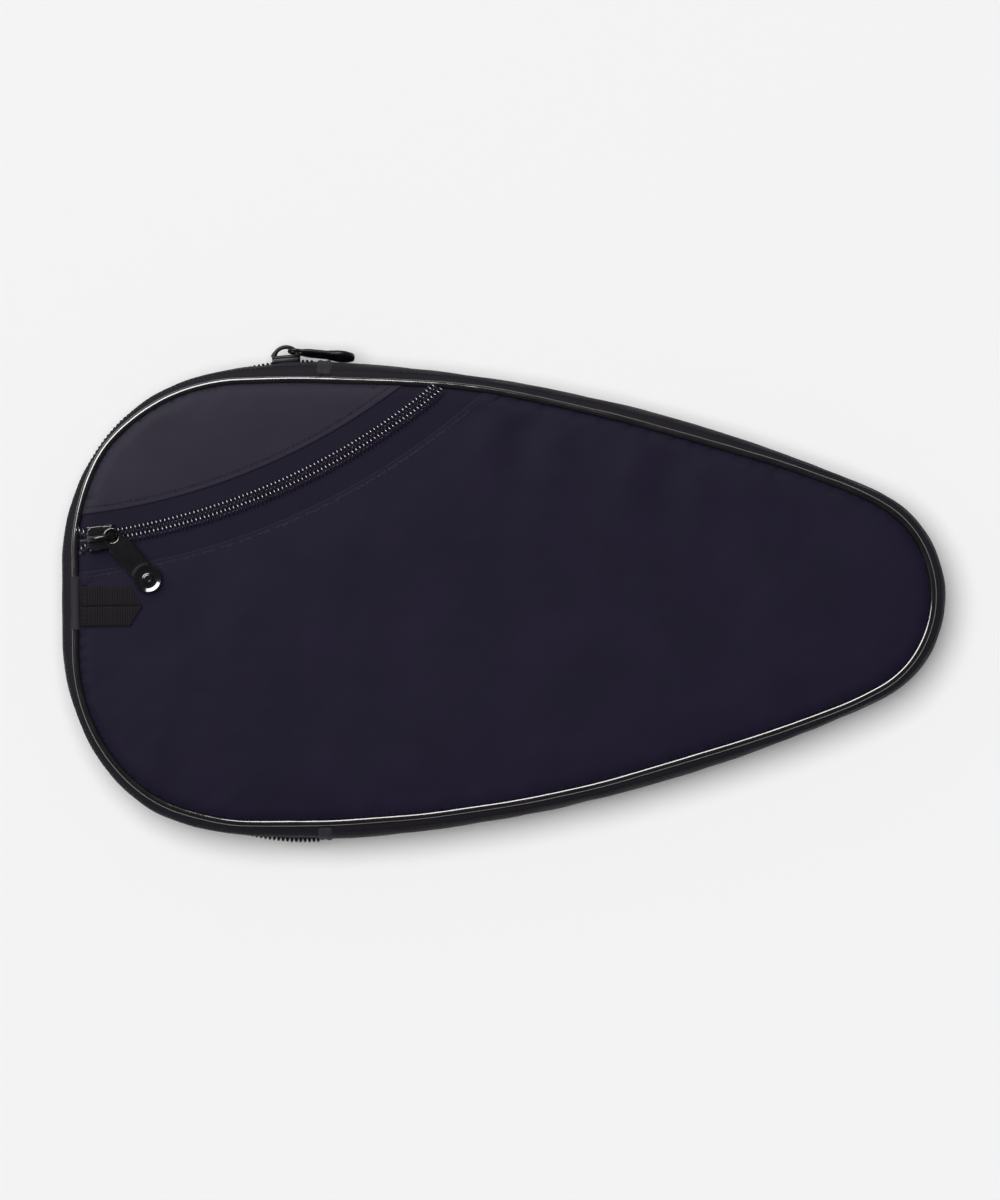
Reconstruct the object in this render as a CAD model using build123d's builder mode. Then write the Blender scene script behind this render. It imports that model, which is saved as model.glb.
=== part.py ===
from build123d import *
import math
import os
from collections import namedtuple

os.makedirs("parts", exist_ok=True)

# A padded paddle-racket case that lies on its back panel. Millimetres, +Z up.
# +X runs from the wide end to the narrow end. The origin is on the resting plane,
# under the centre of the arc that the main zip follows round the wide end.

# ---- driving dimensions -------------------------------------------------------------
case_depth = 54.0
fabric = 0.8
panel_fabric = 1.0
foam = 3.0
lining = 0.5
piping_radius = 2.0
gap = 0.15
clear = 0.1

# Outline = flat wide end, two shoulder arcs, two long side arcs and one tip arc.
Outline = namedtuple("Outline", "end_x shoulder_y shoulder_r side_r tip_x tip_r")
widest = Outline(-136.8, 20.9, 115.3, 876.3, 297.5, 65.0)
piping_line = Outline(-128.8, 28.4, 95.4, 835.7, 299.8, 55.3)
band_inner = Outline(-131.8, 1.0, 130.8, 885.0, 297.5, 60.5)

# edges of the layers, measured inwards from the centre line of the piping
cloth_inset = 1.0
padding_inset = 2.4
binding_outer_inset = 1.3
binding_inner_inset = 2.1
binding_low = 5.4
binding_high = 8.5
seam_inset = 0.7
strip_flare = 1.5
front_piping_z = case_depth - panel_fabric - piping_radius - clear
back_piping_z = panel_fabric + piping_radius + clear
cover_length = 30.0
cover_wall = 0.85
cover_slot = 2.2

# main zip, all radii about the origin
zip_mid_z = case_depth / 2
tape_r = 132.5
tape_thickness = 0.7
coil_inner_r = 133.3
coil_height = 3.2
coil_gap = 1.0
coil_width = 3.8
band_half = 9.0
zip_end_x = 12.0
coil_end_x = 6.5
fold_x = -21.0
strip_bottom = zip_mid_z + band_half
strip_top = case_depth - 5.3
seam_depth = 4.2
tab_thickness = 1.6
tab_overlap = 2.0
top_tab_span = (8.5, 17.0)
bottom_tab_span = (7.0, 15.0)

# pocket zip, a wide arc across the front panel
pocket_x = -164.2
pocket_y = 416.5
pocket_r = 383.2
pocket_slot_above = 14.5
pocket_slot_below = 17.5
pocket_tape_above = 19.0
pocket_tape_below = 22.0
pocket_rest_deg = -82.4
tape_top = case_depth - panel_fabric - clear
backing_top = case_depth - 5.2

# sliders: heights are above the tape, and the bridge is measured from the plate's top
slider_length = 18.4
slider_width = 15.0
plate_low = coil_height + 0.8
plate_high = plate_low + 2.2
inner_high = -tape_thickness - 0.6
inner_low = inner_high - 1.8
flange_low = 0.45
flange_thickness = 1.7
post_thickness = 0.8
post_share = 0.35
post_sink = 0.2
inner_plate_inset = 1.0
main_slider_deg = 93.8
bridge_arc_r = 7.3
bridge_sink = 2.6
bridge_bar_r = 1.0
bridge_lean_deg = 74.0

# pulls, drawn about the middle of the eye, and as long as given from its heel
eye_height = 1.5
eye_mid_r = 4.2
eye_half_wire = 0.8
eye_thickness = 1.4
pull_plate = 2.0
pull_half_width = 6.4
pull_shoulder = 10.0
pull_end_r = 7.9
pull_end_thickness = 3.0
dish_r = 5.9
dish_depth = 0.8
boss_r = 3.2
main_pull_length = 37.5
main_pull_tilt = 10.0
pocket_pull_length = 43.7
pocket_pull_tilt = 4.0
pocket_pull_yaw = -58.0

# hang loop of folded webbing
loop_root_x = -126.2
loop_mitre_x = -98.0
loop_tip_x = -91.0
loop_top_y = 9.5
loop_bottom_y = -13.2
webbing = 1.6
loop_lift = 0.2


def inset(o, d):
    """The same outline moved inwards by d, or outwards when d is negative."""
    return Outline(o.end_x + d, o.shoulder_y, o.shoulder_r - d, o.side_r - d, o.tip_x, o.tip_r - d)


def outline_face(o):
    """The closed outline o as a flat sketch."""
    shoulder = Vector(o.end_x + o.shoulder_r, o.shoulder_y)
    tip = Vector(o.tip_x, 0)
    reach_a = o.side_r - o.shoulder_r
    reach_b = o.side_r - o.tip_r
    across = tip - shoulder
    span = across.length
    along = (reach_a**2 - reach_b**2 + span**2) / (2 * span)
    drop = math.sqrt(reach_a**2 - along**2)
    unit = across.normalized()
    side = shoulder + unit * along + Vector(unit.Y, -unit.X) * drop
    upper = shoulder + (shoulder - side).normalized() * o.shoulder_r
    outer = tip + (tip - side).normalized() * o.tip_r
    corner_dir = (Vector(-1, 0) + (upper - shoulder).normalized()).normalized()
    corner = shoulder + corner_dir * o.shoulder_r
    middle = side + ((upper + outer) * 0.5 - side).normalized() * o.side_r
    start = Vector(o.end_x, o.shoulder_y)
    nose = Vector(o.tip_x + o.tip_r, 0)
    with BuildSketch() as outline:
        with BuildLine():
            Line(mirrored(start), start)
            ThreePointArc(start, corner, upper)
            ThreePointArc(upper, middle, outer)
            ThreePointArc(outer, nose, mirrored(outer))
            ThreePointArc(mirrored(outer), mirrored(middle), mirrored(upper))
            ThreePointArc(mirrored(upper), mirrored(corner), mirrored(start))
        make_face()
    return outline.sketch


def mirrored(p):
    """The point on the other side of the case's centre line."""
    return Vector(p.X, -p.Y)


def draw_ring(inner_r, outer_r):
    """Draws a flat ring about the sketch's origin."""
    Circle(outer_r)
    Circle(inner_r, mode=Mode.SUBTRACT)


def make_layer(o, bottom, top):
    """A flat layer of the case's outline between two heights."""
    with BuildPart() as layer:
        with BuildSketch(Plane.XY.offset(bottom)):
            add(outline_face(o))
        extrude(amount=top - bottom)
    return layer


def make_wall(outer_levels, inner_levels):
    """A wall between two stacks of (outline, height) levels that follow the same heights."""
    with BuildPart() as wall:
        for o, height in outer_levels:
            with BuildSketch(Plane.XY.offset(height)):
                add(outline_face(o))
        loft(ruled=True)
        for o, height in inner_levels:
            with BuildSketch(Plane.XY.offset(height)):
                add(outline_face(o))
        loft(ruled=True, mode=Mode.SUBTRACT)
    return wall


def make_piping(height):
    """A round cord that follows the piping line all the way round."""
    with BuildSketch(Plane.XY.offset(height)) as route:
        add(outline_face(piping_line))
    with BuildPart() as cord:
        start = Plane(origin=(piping_line.end_x, 0, height), z_dir=(0, 1, 0))
        with BuildSketch(start):
            Circle(piping_radius)
        sweep(path=route.face().outer_wire(), transition=Transition.ROUND)
    return cord


def make_arc_band(plane, inner_r, outer_r, bottom, top):
    """A ring about the plane's axis, between two heights."""
    with BuildPart() as band:
        with BuildSketch(plane.offset(bottom)):
            draw_ring(inner_r, outer_r)
        extrude(amount=top - bottom)
    return band


def keep_left(piece, x):
    """The part of a piece on the wide-end side of x, one gap clear of it."""
    with BuildPart() as kept:
        add(piece.part)
        split(bisect_by=Plane.YZ.offset(x - gap), keep=Keep.BOTTOM)
    return kept


def keep_right(piece, x):
    """The part of a piece on the narrow-end side of x, one gap clear of it."""
    with BuildPart() as kept:
        add(piece.part)
        split(bisect_by=Plane.YZ.offset(x + gap), keep=Keep.TOP)
    return kept


def keep_shared(piece, other):
    """What two pieces have in common."""
    with BuildPart() as kept:
        add(piece.part)
        add(other.part, mode=Mode.INTERSECT)
    return kept


def save(piece, name):
    """Labels a finished piece and writes it."""
    piece.part.label = name
    export_step(piece.part, f"parts/{name}.step")


def save_flap_pair(piece, flap_name, body_name):
    """Writes a piece of the front in two, parted at the fold of the opening flap."""
    save(keep_left(piece, fold_x), flap_name)
    save(keep_right(piece, fold_x), body_name)


# ---- back panel ---------------------------------------------------------------------
def make_back():
    under_piping = inset(piping_line, cloth_inset)
    beside_piping = inset(piping_line, padding_inset)
    foam_top = panel_fabric + foam
    save(make_layer(under_piping, 0, panel_fabric), "back_panel_fabric")
    save(make_layer(beside_piping, panel_fabric, foam_top), "back_panel_foam")
    save(make_layer(beside_piping, foam_top, foam_top + lining), "back_panel_lining")
    save(make_piping(back_piping_z), "back_piping")
    levels = (binding_low, binding_high)
    outer = [(inset(piping_line, binding_outer_inset), z) for z in levels]
    inner = [(inset(piping_line, binding_inner_inset), z) for z in levels]
    save(make_wall(outer, inner), "back_binding")


# ---- front panel, its pocket and the flap's share of both ---------------------------
def make_front():
    under_piping = inset(piping_line, cloth_inset)
    beside_piping = inset(piping_line, padding_inset)
    fabric_bottom = case_depth - panel_fabric
    pocket_axis = Plane(origin=(pocket_x, pocket_y, 0), z_dir=(0, 0, 1))

    cover = make_layer(under_piping, fabric_bottom, case_depth)
    with BuildPart() as main_cloth:
        add(cover.part)
        with BuildSketch(pocket_axis.offset(fabric_bottom)):
            Circle(pocket_r + pocket_slot_below)
        extrude(amount=panel_fabric, mode=Mode.SUBTRACT)
    save_flap_pair(main_cloth, "flap_front_fabric", "front_panel_fabric")
    with BuildPart() as corner_cloth:
        add(cover.part)
        with BuildSketch(pocket_axis.offset(fabric_bottom)):
            Circle(pocket_r - pocket_slot_above)
        extrude(amount=panel_fabric, mode=Mode.INTERSECT)
    save_flap_pair(corner_cloth, "flap_pocket_top_panel", "pocket_top_panel_end")

    backing = make_layer(beside_piping, backing_top - lining, backing_top)
    save_flap_pair(backing, "flap_pocket_backing", "pocket_backing")
    foam_bottom = backing_top - lining - foam
    padding = make_layer(beside_piping, foam_bottom, backing_top - lining)
    save_flap_pair(padding, "flap_foam", "front_panel_foam")
    inside = make_layer(beside_piping, foam_bottom - lining, foam_bottom)
    save_flap_pair(inside, "flap_lining", "front_panel_lining")

    save_flap_pair(make_piping(front_piping_z), "flap_piping", "front_piping")
    levels = (foam_bottom - lining, foam_bottom + foam)
    outer = [(inset(piping_line, binding_outer_inset), z) for z in levels]
    inner = [(inset(piping_line, binding_inner_inset), z) for z in levels]
    save_flap_pair(make_wall(outer, inner), "flap_binding", "front_binding")

    limits = make_layer(beside_piping, tape_top - tape_thickness, case_depth + coil_height)
    tape_bottom = tape_top - tape_thickness
    spans = {
        "upper": (pocket_r - pocket_tape_above, pocket_r - coil_gap + clear),
        "lower": (pocket_r + coil_gap - clear, pocket_r + pocket_tape_below),
    }
    for side, (inner_r, outer_r) in spans.items():
        tape = make_arc_band(pocket_axis, inner_r, outer_r, tape_bottom, tape_top)
        names = (f"flap_pocket_tape_{side}", f"pocket_tape_{side}_end")
        save_flap_pair(keep_shared(tape, limits), *names)
    for side, inner_r in (("upper", pocket_r - coil_gap - coil_width), ("lower", pocket_r + coil_gap)):
        coil = make_arc_band(pocket_axis, inner_r, inner_r + coil_width, tape_top, tape_top + coil_height)
        names = (f"flap_pocket_coil_{side}", f"pocket_coil_{side}_end")
        save_flap_pair(keep_shared(coil, limits), *names)


# ---- zip strips, main zip and gusset ------------------------------------------------
def make_main_zip():
    at_piping = inset(piping_line, -strip_flare)
    in_seam = inset(piping_line, seam_inset)
    outer = [(widest, strip_bottom), (at_piping, strip_top)]
    inner = [(band_inner, strip_bottom), (in_seam, strip_top - seam_depth), (in_seam, strip_top)]
    upper = make_wall(outer, inner)
    save_flap_pair(keep_left(upper, zip_end_x), "flap_zip_strip", "front_zip_strip_ends")
    lower = make_wall(
        [(o, case_depth - height) for o, height in outer],
        [(o, case_depth - height) for o, height in inner],
    )
    save(keep_left(lower, zip_end_x), "back_zip_strip")

    tape_outer = tape_r + tape_thickness
    tape_edge = coil_gap - clear
    front_tape = make_arc_band(Plane.XY, tape_r, tape_outer, zip_mid_z + tape_edge, strip_bottom)
    save_flap_pair(keep_left(front_tape, zip_end_x), "flap_zip_tape", "front_zip_tape_ends")
    back_tape = make_arc_band(
        Plane.XY, tape_r, tape_outer, case_depth - strip_bottom, zip_mid_z - tape_edge
    )
    save(keep_left(back_tape, zip_end_x), "back_zip_tape")

    coil_outer_r = coil_inner_r + coil_height
    coil_low = zip_mid_z + coil_gap
    front_coil = make_arc_band(Plane.XY, coil_inner_r, coil_outer_r, coil_low, coil_low + coil_width)
    save_flap_pair(keep_left(front_coil, coil_end_x), "flap_zip_coil", "front_zip_coil_ends")
    coil_high = zip_mid_z - coil_gap
    back_coil = make_arc_band(Plane.XY, coil_inner_r, coil_outer_r, coil_high - coil_width, coil_high)
    save(keep_left(back_coil, coil_end_x), "back_zip_coil")


def make_gusset():
    heights = (case_depth - strip_top, case_depth - strip_bottom, strip_bottom, strip_top)
    at_piping = inset(piping_line, -strip_flare)
    outlines = (at_piping, widest, widest, at_piping)
    outer = list(zip(outlines, heights))
    inner = [(inset(o, fabric), z) for o, z in outer]
    save(keep_right(make_wall(outer, inner), zip_end_x), "gusset_fabric")

    band = (case_depth - strip_bottom, strip_bottom)
    padding = make_wall(
        [(inset(widest, fabric + clear), z) for z in band],
        [(inset(widest, fabric + clear + foam), z) for z in band],
    )
    save(keep_right(padding, zip_end_x), "gusset_foam")
    inside = make_wall(
        [(inset(widest, fabric + foam + 2 * clear), z) for z in band],
        [(inset(widest, fabric + foam + 2 * clear + lining), z) for z in band],
    )
    save(keep_right(inside, zip_end_x), "gusset_lining")


def make_seam_tab(side, span, name):
    """The folded tab of gusset cloth that covers one end of the main zip."""
    first_x, last_x = span
    reach = band_half + tab_overlap
    levels = (zip_mid_z - reach, zip_mid_z + reach)
    near = inset(widest, -2 * clear)
    far = inset(near, -tab_thickness)
    wrap = make_wall([(far, z) for z in levels], [(near, z) for z in levels])
    with BuildPart() as tab:
        add(wrap.part)
        middle = ((first_x + last_x) / 2, side * widest.shoulder_r, zip_mid_z)
        with Locations(middle):
            Box(last_x - first_x, widest.shoulder_r, case_depth, mode=Mode.INTERSECT)
    save(tab, name)


def make_piping_cover():
    """The wrapped joint of the front piping at the middle of the wide end."""
    foot = (piping_line.end_x, -cover_length / 2, front_piping_z)
    inner_r = piping_radius + clear / 2
    reach = 2 * piping_radius
    with BuildPart() as cover:
        with BuildSketch(Plane(origin=foot, x_dir=(1, 0, 0), z_dir=(0, 1, 0))):
            Circle(inner_r + cover_wall)
            Circle(inner_r, mode=Mode.SUBTRACT)
            with Locations((piping_radius, 0)):
                Rectangle(reach, 2 * reach, mode=Mode.SUBTRACT)
            with Locations((0, piping_radius), (0, -piping_radius)):
                Rectangle(2 * reach, cover_slot, mode=Mode.SUBTRACT)
        extrude(amount=cover_length)
    save(cover, "piping_joint_cover")


# ---- sliders and pulls --------------------------------------------------------------
def slider_profile():
    """The boxes of a slider's section: (across low, across high, out low, out high)."""
    half = slider_width / 2
    return [
        (-half, half, plate_low, plate_high),
        (-half, flange_thickness - half, flange_low, plate_low),
        (half - flange_thickness, half, flange_low, plate_low),
        (inner_plate_inset - half, half - inner_plate_inset, inner_low, inner_high),
    ]


def swept_box(box, centre, first_deg, last_deg):
    """A box (near r, far r, low z, high z) swept about a vertical axis."""
    near, far, low, high = box
    angle = math.radians(first_deg)
    radial = Vector(math.cos(angle), math.sin(angle), 0)
    plane = Plane(origin=centre, x_dir=radial, z_dir=radial.cross(Vector(0, 0, 1)))
    with BuildPart() as swept:
        with BuildSketch(plane):
            with Locations(((near + far) / 2, (low + high) / 2)):
                Rectangle(far - near, high - low)
        revolve(axis=Axis(centre, (0, 0, 1)), revolution_arc=last_deg - first_deg)
    return swept.part


def make_bridge(frame):
    """The slider's bridge, a round bar bent in an arc over the plate."""
    centre = frame.origin - frame.z_dir * bridge_sink
    lean = math.radians(bridge_lean_deg)
    spoke = frame.z_dir * math.cos(lean) - frame.x_dir * math.sin(lean)
    with BuildPart() as bridge:
        with BuildSketch(Plane(origin=centre, x_dir=spoke, z_dir=spoke.cross(frame.y_dir))):
            with Locations((bridge_arc_r, 0)):
                Circle(bridge_bar_r)
        revolve(axis=Axis(centre, frame.y_dir), revolution_arc=2 * bridge_lean_deg)
    return bridge.part


def main_slider_frame():
    """The main slider's frame: x along the chain towards the seam, z out of the case."""
    angle = math.radians(main_slider_deg)
    out = Vector(math.cos(angle), math.sin(angle), 0)
    origin = out * (coil_inner_r + plate_high) + Vector(0, 0, zip_mid_z)
    return Plane(origin=origin, x_dir=Vector(out.Y, -out.X, 0), z_dir=out)


def pocket_slider_frame():
    """The pocket slider's frame: x along the chain towards its far end, z up."""
    angle = math.radians(pocket_rest_deg)
    spoke = Vector(math.cos(angle), math.sin(angle), 0)
    origin = Vector(pocket_x, pocket_y, tape_top + plate_high) + spoke * pocket_r
    return Plane(origin=origin, x_dir=Vector(-spoke.Y, spoke.X, 0), z_dir=(0, 0, 1))


def make_main_slider():
    turn = math.degrees(slider_length / 2 / coil_inner_r)
    first = main_slider_deg - turn
    last = main_slider_deg + turn
    with BuildPart() as main_slider:
        for low_z, high_z, low_r, high_r in slider_profile():
            box = (coil_inner_r + low_r, coil_inner_r + high_r, zip_mid_z + low_z, zip_mid_z + high_z)
            add(swept_box(box, (0, 0, 0), first, last))
        post = (
            coil_inner_r + inner_high - post_sink,
            coil_inner_r + plate_low + post_sink,
            zip_mid_z - post_thickness / 2,
            zip_mid_z + post_thickness / 2,
        )
        add(swept_box(post, (0, 0, 0), first, first + post_share * 2 * turn))
        add(make_bridge(main_slider_frame()))
    save(main_slider, "main_slider_body")


def make_pocket_slider():
    turn = math.degrees(slider_length / 2 / pocket_r)
    first = pocket_rest_deg - turn
    last = pocket_rest_deg + turn
    axis_foot = (pocket_x, pocket_y, 0)
    with BuildPart() as pocket_slider:
        for low_r, high_r, low_z, high_z in slider_profile():
            box = (pocket_r + low_r, pocket_r + high_r, tape_top + low_z, tape_top + high_z)
            add(swept_box(box, axis_foot, first, last))
        post = (
            pocket_r - post_thickness / 2,
            pocket_r + post_thickness / 2,
            tape_top + inner_high - post_sink,
            tape_top + plate_low + post_sink,
        )
        add(swept_box(post, axis_foot, last - post_share * 2 * turn, last))
        add(make_bridge(pocket_slider_frame()))
    save(pocket_slider, "pocket_slider_body")


def make_pull(frame, yaw, tilt, length, name):
    """A pull whose eye is round the far leg of a slider's bridge."""
    leg_x = math.sqrt(bridge_arc_r**2 - (bridge_sink + eye_height) ** 2)
    eye = frame.origin + frame.x_dir * leg_x + frame.z_dir * eye_height
    turn = math.radians(yaw)
    dip = math.radians(tilt)
    level = frame.x_dir * math.cos(turn) + frame.y_dir * math.sin(turn)
    along = level * math.cos(dip) - frame.z_dir * math.sin(dip)
    up = level * math.sin(dip) + frame.z_dir * math.cos(dip)
    flat = Plane(origin=eye, x_dir=along, z_dir=up)
    end_x = length - eye_mid_r - pull_end_r
    eye_outer = eye_mid_r + eye_half_wire
    with BuildPart() as pull:
        with BuildSketch(flat):
            with BuildLine():
                Polyline(
                    (0, eye_outer),
                    (pull_shoulder, pull_half_width),
                    (pull_shoulder, -pull_half_width),
                    (0, -eye_outer),
                    close=True,
                )
            make_face()
            Circle(eye_outer)
        extrude(amount=eye_thickness / 2, both=True)
        with BuildSketch(flat):
            with Locations(((pull_shoulder + end_x) / 2, 0)):
                Rectangle(end_x - pull_shoulder, 2 * pull_half_width)
        extrude(amount=pull_plate / 2, both=True)
        with BuildSketch(flat):
            with Locations((end_x, 0)):
                Circle(pull_end_r)
        extrude(amount=pull_end_thickness / 2, both=True)
        for side in (-1, 1):
            face_height = side * pull_end_thickness / 2
            with BuildSketch(flat.offset(face_height)):
                with Locations((end_x, 0)):
                    Circle(dish_r)
                    Circle(boss_r, mode=Mode.SUBTRACT)
            extrude(amount=-side * dish_depth, mode=Mode.SUBTRACT)
        with BuildSketch(flat):
            Circle(eye_mid_r - eye_half_wire)
        extrude(amount=pull_plate, both=True, mode=Mode.SUBTRACT)
    save(pull, name)


# ---- hang loop ----------------------------------------------------------------------
def make_hang_loop():
    middle_y = (loop_top_y + loop_bottom_y) / 2
    with BuildPart() as hang_loop:
        with BuildSketch(Plane.XY.offset(case_depth + loop_lift)):
            with BuildLine():
                Polyline(
                    (loop_root_x, loop_top_y),
                    (loop_mitre_x, loop_top_y),
                    (loop_tip_x, middle_y),
                    (loop_mitre_x, loop_bottom_y),
                    (loop_root_x, loop_bottom_y),
                    close=True,
                )
            make_face()
        extrude(amount=webbing)
    save(hang_loop, "hang_loop")


make_back()
make_front()
make_main_zip()
make_gusset()
make_seam_tab(1, top_tab_span, "top_seam_tab")
make_seam_tab(-1, bottom_tab_span, "bottom_seam_tab")
make_piping_cover()
make_main_slider()
make_pocket_slider()
make_pull(main_slider_frame(), 0.0, main_pull_tilt, main_pull_length, "main_pull_tab")
make_pull(
    pocket_slider_frame(), pocket_pull_yaw, pocket_pull_tilt, pocket_pull_length, "pocket_pull_tab"
)
make_hang_loop()
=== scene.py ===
import math
from collections import namedtuple

import bpy
import numpy as np
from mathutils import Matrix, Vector
from mathutils.bvhtree import BVHTree
from mathutils.geometry import delaunay_2d_cdt


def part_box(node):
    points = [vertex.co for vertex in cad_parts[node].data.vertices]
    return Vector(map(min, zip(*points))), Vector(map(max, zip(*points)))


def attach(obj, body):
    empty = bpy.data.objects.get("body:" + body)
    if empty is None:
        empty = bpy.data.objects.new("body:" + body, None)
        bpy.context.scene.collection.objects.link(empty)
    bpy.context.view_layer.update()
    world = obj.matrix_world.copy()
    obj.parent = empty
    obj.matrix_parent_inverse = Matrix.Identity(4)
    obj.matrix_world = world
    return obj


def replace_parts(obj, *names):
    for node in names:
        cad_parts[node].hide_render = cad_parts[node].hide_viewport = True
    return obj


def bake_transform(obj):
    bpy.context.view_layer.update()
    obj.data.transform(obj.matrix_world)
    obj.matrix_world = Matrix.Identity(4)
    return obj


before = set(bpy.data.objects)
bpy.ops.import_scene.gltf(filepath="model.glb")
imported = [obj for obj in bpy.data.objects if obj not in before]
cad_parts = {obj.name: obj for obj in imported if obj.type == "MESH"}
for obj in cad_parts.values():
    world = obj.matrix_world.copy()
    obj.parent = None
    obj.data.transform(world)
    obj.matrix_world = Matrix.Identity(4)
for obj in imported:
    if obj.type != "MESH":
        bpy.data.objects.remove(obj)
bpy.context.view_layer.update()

# Shapes are worked out in millimetres in the frame of the part and written to Blender in metres.
MM = 0.001
scene = bpy.context.scene


def box_mm(node):
    """Lowest and highest corner of a CAD node, in millimetres."""
    low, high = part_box(node)
    return np.array(low) / MM, np.array(high) / MM


# ---- camera -------------------------------------------------------------------------
view_centre = Vector((0.1107, -0.0004, 0.04))
view_height = 0.678
view_distance = 6.0
view_roll_deg = -0.524
sensor = 36.0
camera = bpy.data.objects.new("camera", bpy.data.cameras.new("camera"))
scene.collection.objects.link(camera)
camera.data.sensor_width = sensor
camera.data.lens = sensor * view_distance / view_height
camera.data.clip_end = 50.0
camera.location = view_centre + Vector((0, 0, view_distance))
camera.rotation_euler = (0, 0, math.radians(view_roll_deg))
scene.camera = camera

# ---- outlines and levels, from the frame -------------------------------------------
# Outline = flat wide end, two shoulder arcs, two long side arcs and one tip arc, and how far the sewn
# line strays outwards from these arcs, as (x, distance) along the upper and the lower side.
Outline = namedtuple("Outline", "end_x shoulder_y shoulder_r side_r tip_x tip_r upper lower")
seam_upper = (
    (-128, 0), (-109, 2.3), (-87, 1.5), (-59, 0.6), (-30, 0.8), (-6, 1.4), (26, 1.3), (54, 2.3), (82, 3.6),
    (111, 3.6), (139, 2.2), (224, 0.8), (308, 3.8), (340, 1.5), (357, 0),
)
seam_lower = (
    (-128, 0), (-95, 1.8), (-87, 2.0), (-59, 0.3), (-30, 1.0), (0, 1.5), (54, 2.0), (139, 2.2), (224, 0.8),
    (308, 3.4), (340, 1.5), (357, 0),
)
widest_upper = ((-130, 0), (-85, -0.4), (-62, -2.4), (-42, -3.4), (-25, -3.2), (-8, -1.0), (5, 0))
widest_lower = (
    (-130, 0), (-115, 1.6), (-87, 2.0), (-66, -1.2), (-45, -3.4), (-25, -3.4), (-5, -2.2), (10, -1.0), (25, 0),
)
piping_low, piping_high = box_mm("flap_piping")
piping_r = (piping_high[2] - piping_low[2]) / 2
front_piping_z = (piping_high[2] + piping_low[2]) / 2
back_piping_z = box_mm("back_piping")[0][2] + piping_r
case_depth = box_mm("front_panel_fabric")[1][2]
mid_z = case_depth / 2
tip_at_piping = box_mm("front_piping")[1][0] - piping_r
tip_at_widest = box_mm("gusset_fabric")[1][0]
piping_tip_r = 55.3
widest_tip_r = 65.0
piping_line = Outline(
    end_x=piping_low[0] + piping_r,
    shoulder_y=28.4,
    shoulder_r=95.4,
    side_r=835.7,
    tip_x=tip_at_piping - piping_tip_r,
    tip_r=piping_tip_r,
    upper=seam_upper,
    lower=seam_lower,
)
widest = Outline(
    end_x=box_mm("flap_zip_strip")[0][0],
    shoulder_y=20.9,
    shoulder_r=115.3,
    side_r=876.3,
    tip_x=tip_at_widest - widest_tip_r,
    tip_r=widest_tip_r,
    upper=widest_upper,
    lower=widest_lower,
)
chain_depth = 3.2
tape_radius = -box_mm("flap_zip_tape")[0][0]
coil_radius = -box_mm("flap_zip_coil")[0][0] - chain_depth
zip_end_x = box_mm("gusset_fabric")[0][0]
pocket_centre = np.array([-164.2, 416.5])
pocket_r = 383.2
slot_above = 14.5
slot_below = 17.5
tape_top = box_mm("pocket_tape_lower_end")[1][2]


def smooth(t):
    t = np.clip(t, 0, 1)
    return t * t * (3 - 2 * t)


def circle(angle):
    """Points of the unit circle."""
    return np.stack([np.cos(angle), np.sin(angle)], -1)


def raised(flat, z):
    """Flat points with a height, or one height for each."""
    return np.concatenate([flat, np.broadcast_to(z, len(flat))[:, None]], 1)


def upright(count):
    return np.tile([0.0, 0.0, 1.0], (count, 1))


def walk(path):
    """How far along a path each of its points is."""
    return np.concatenate([[0], np.cumsum(np.linalg.norm(np.diff(path, axis=0), axis=1))])


def carry(at, walked, values):
    """Each column of the values, read at the given distances."""
    return np.stack([np.interp(at, walked, column) for column in values.T], 1)


def to_unit(vectors):
    return vectors / np.linalg.norm(vectors, axis=-1, keepdims=True)


def inset(o, d):
    """The same outline moved inwards by d millimetres."""
    return o._replace(
        end_x=o.end_x + d, shoulder_r=o.shoulder_r - d, side_r=o.side_r - d, tip_r=o.tip_r - d
    )


stray_blur = 36


def dense_outline(o, step=0.25):
    """Close points and outward normals, clockwise from the middle of the wide end."""
    shoulder = np.array([o.end_x + o.shoulder_r, o.shoulder_y])
    tip = np.array([o.tip_x, 0.0])
    from_shoulder = o.side_r - o.shoulder_r
    from_tip = o.side_r - o.tip_r
    span = np.linalg.norm(tip - shoulder)
    u = (tip - shoulder) / span
    along = (from_shoulder**2 - from_tip**2 + span**2) / (2 * span)
    side = shoulder + u * along + np.array([u[1], -u[0]]) * math.sqrt(from_shoulder**2 - along**2)
    turn_1 = math.atan2(*(shoulder - side)[::-1])
    turn_2 = math.atan2(*(tip - side)[::-1])
    count = max(2, int(o.shoulder_y / step))
    rise = np.linspace(0, o.shoulder_y, count, endpoint=False)
    points = [np.stack([np.full(count, o.end_x), rise], 1)]
    normals = [np.tile([-1.0, 0.0], (count, 1))]
    arcs = (
        (shoulder, o.shoulder_r, math.pi, turn_1),
        (side, o.side_r, turn_1, turn_2),
        (tip, o.tip_r, turn_2, 0.0),
    )
    for centre, radius, first, last in arcs:
        count = int(radius * (first - last) / step)
        angle = np.linspace(first, last, count, endpoint=last == 0.0)
        out = circle(angle)
        points.append(centre + out * radius)
        normals.append(out)
    upper, out = np.concatenate(points), np.concatenate(normals)
    flip = np.array([1.0, -1.0])
    ring = np.concatenate([upper, upper[-2:0:-1] * flip])
    outward = np.concatenate([out, out[-2:0:-1] * flip])
    stray_upper = np.interp(upper[:, 0], *zip(*o.upper))
    stray_lower = np.interp(upper[-2:0:-1, 0], *zip(*o.lower))
    stray = np.concatenate([stray_upper, stray_lower])
    window = np.hanning(int(stray_blur / step))
    stray = np.convolve(np.tile(stray, 3), window / window.sum(), "same")[len(ring) : 2 * len(ring)]
    return ring + outward * stray[:, None], outward


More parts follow.
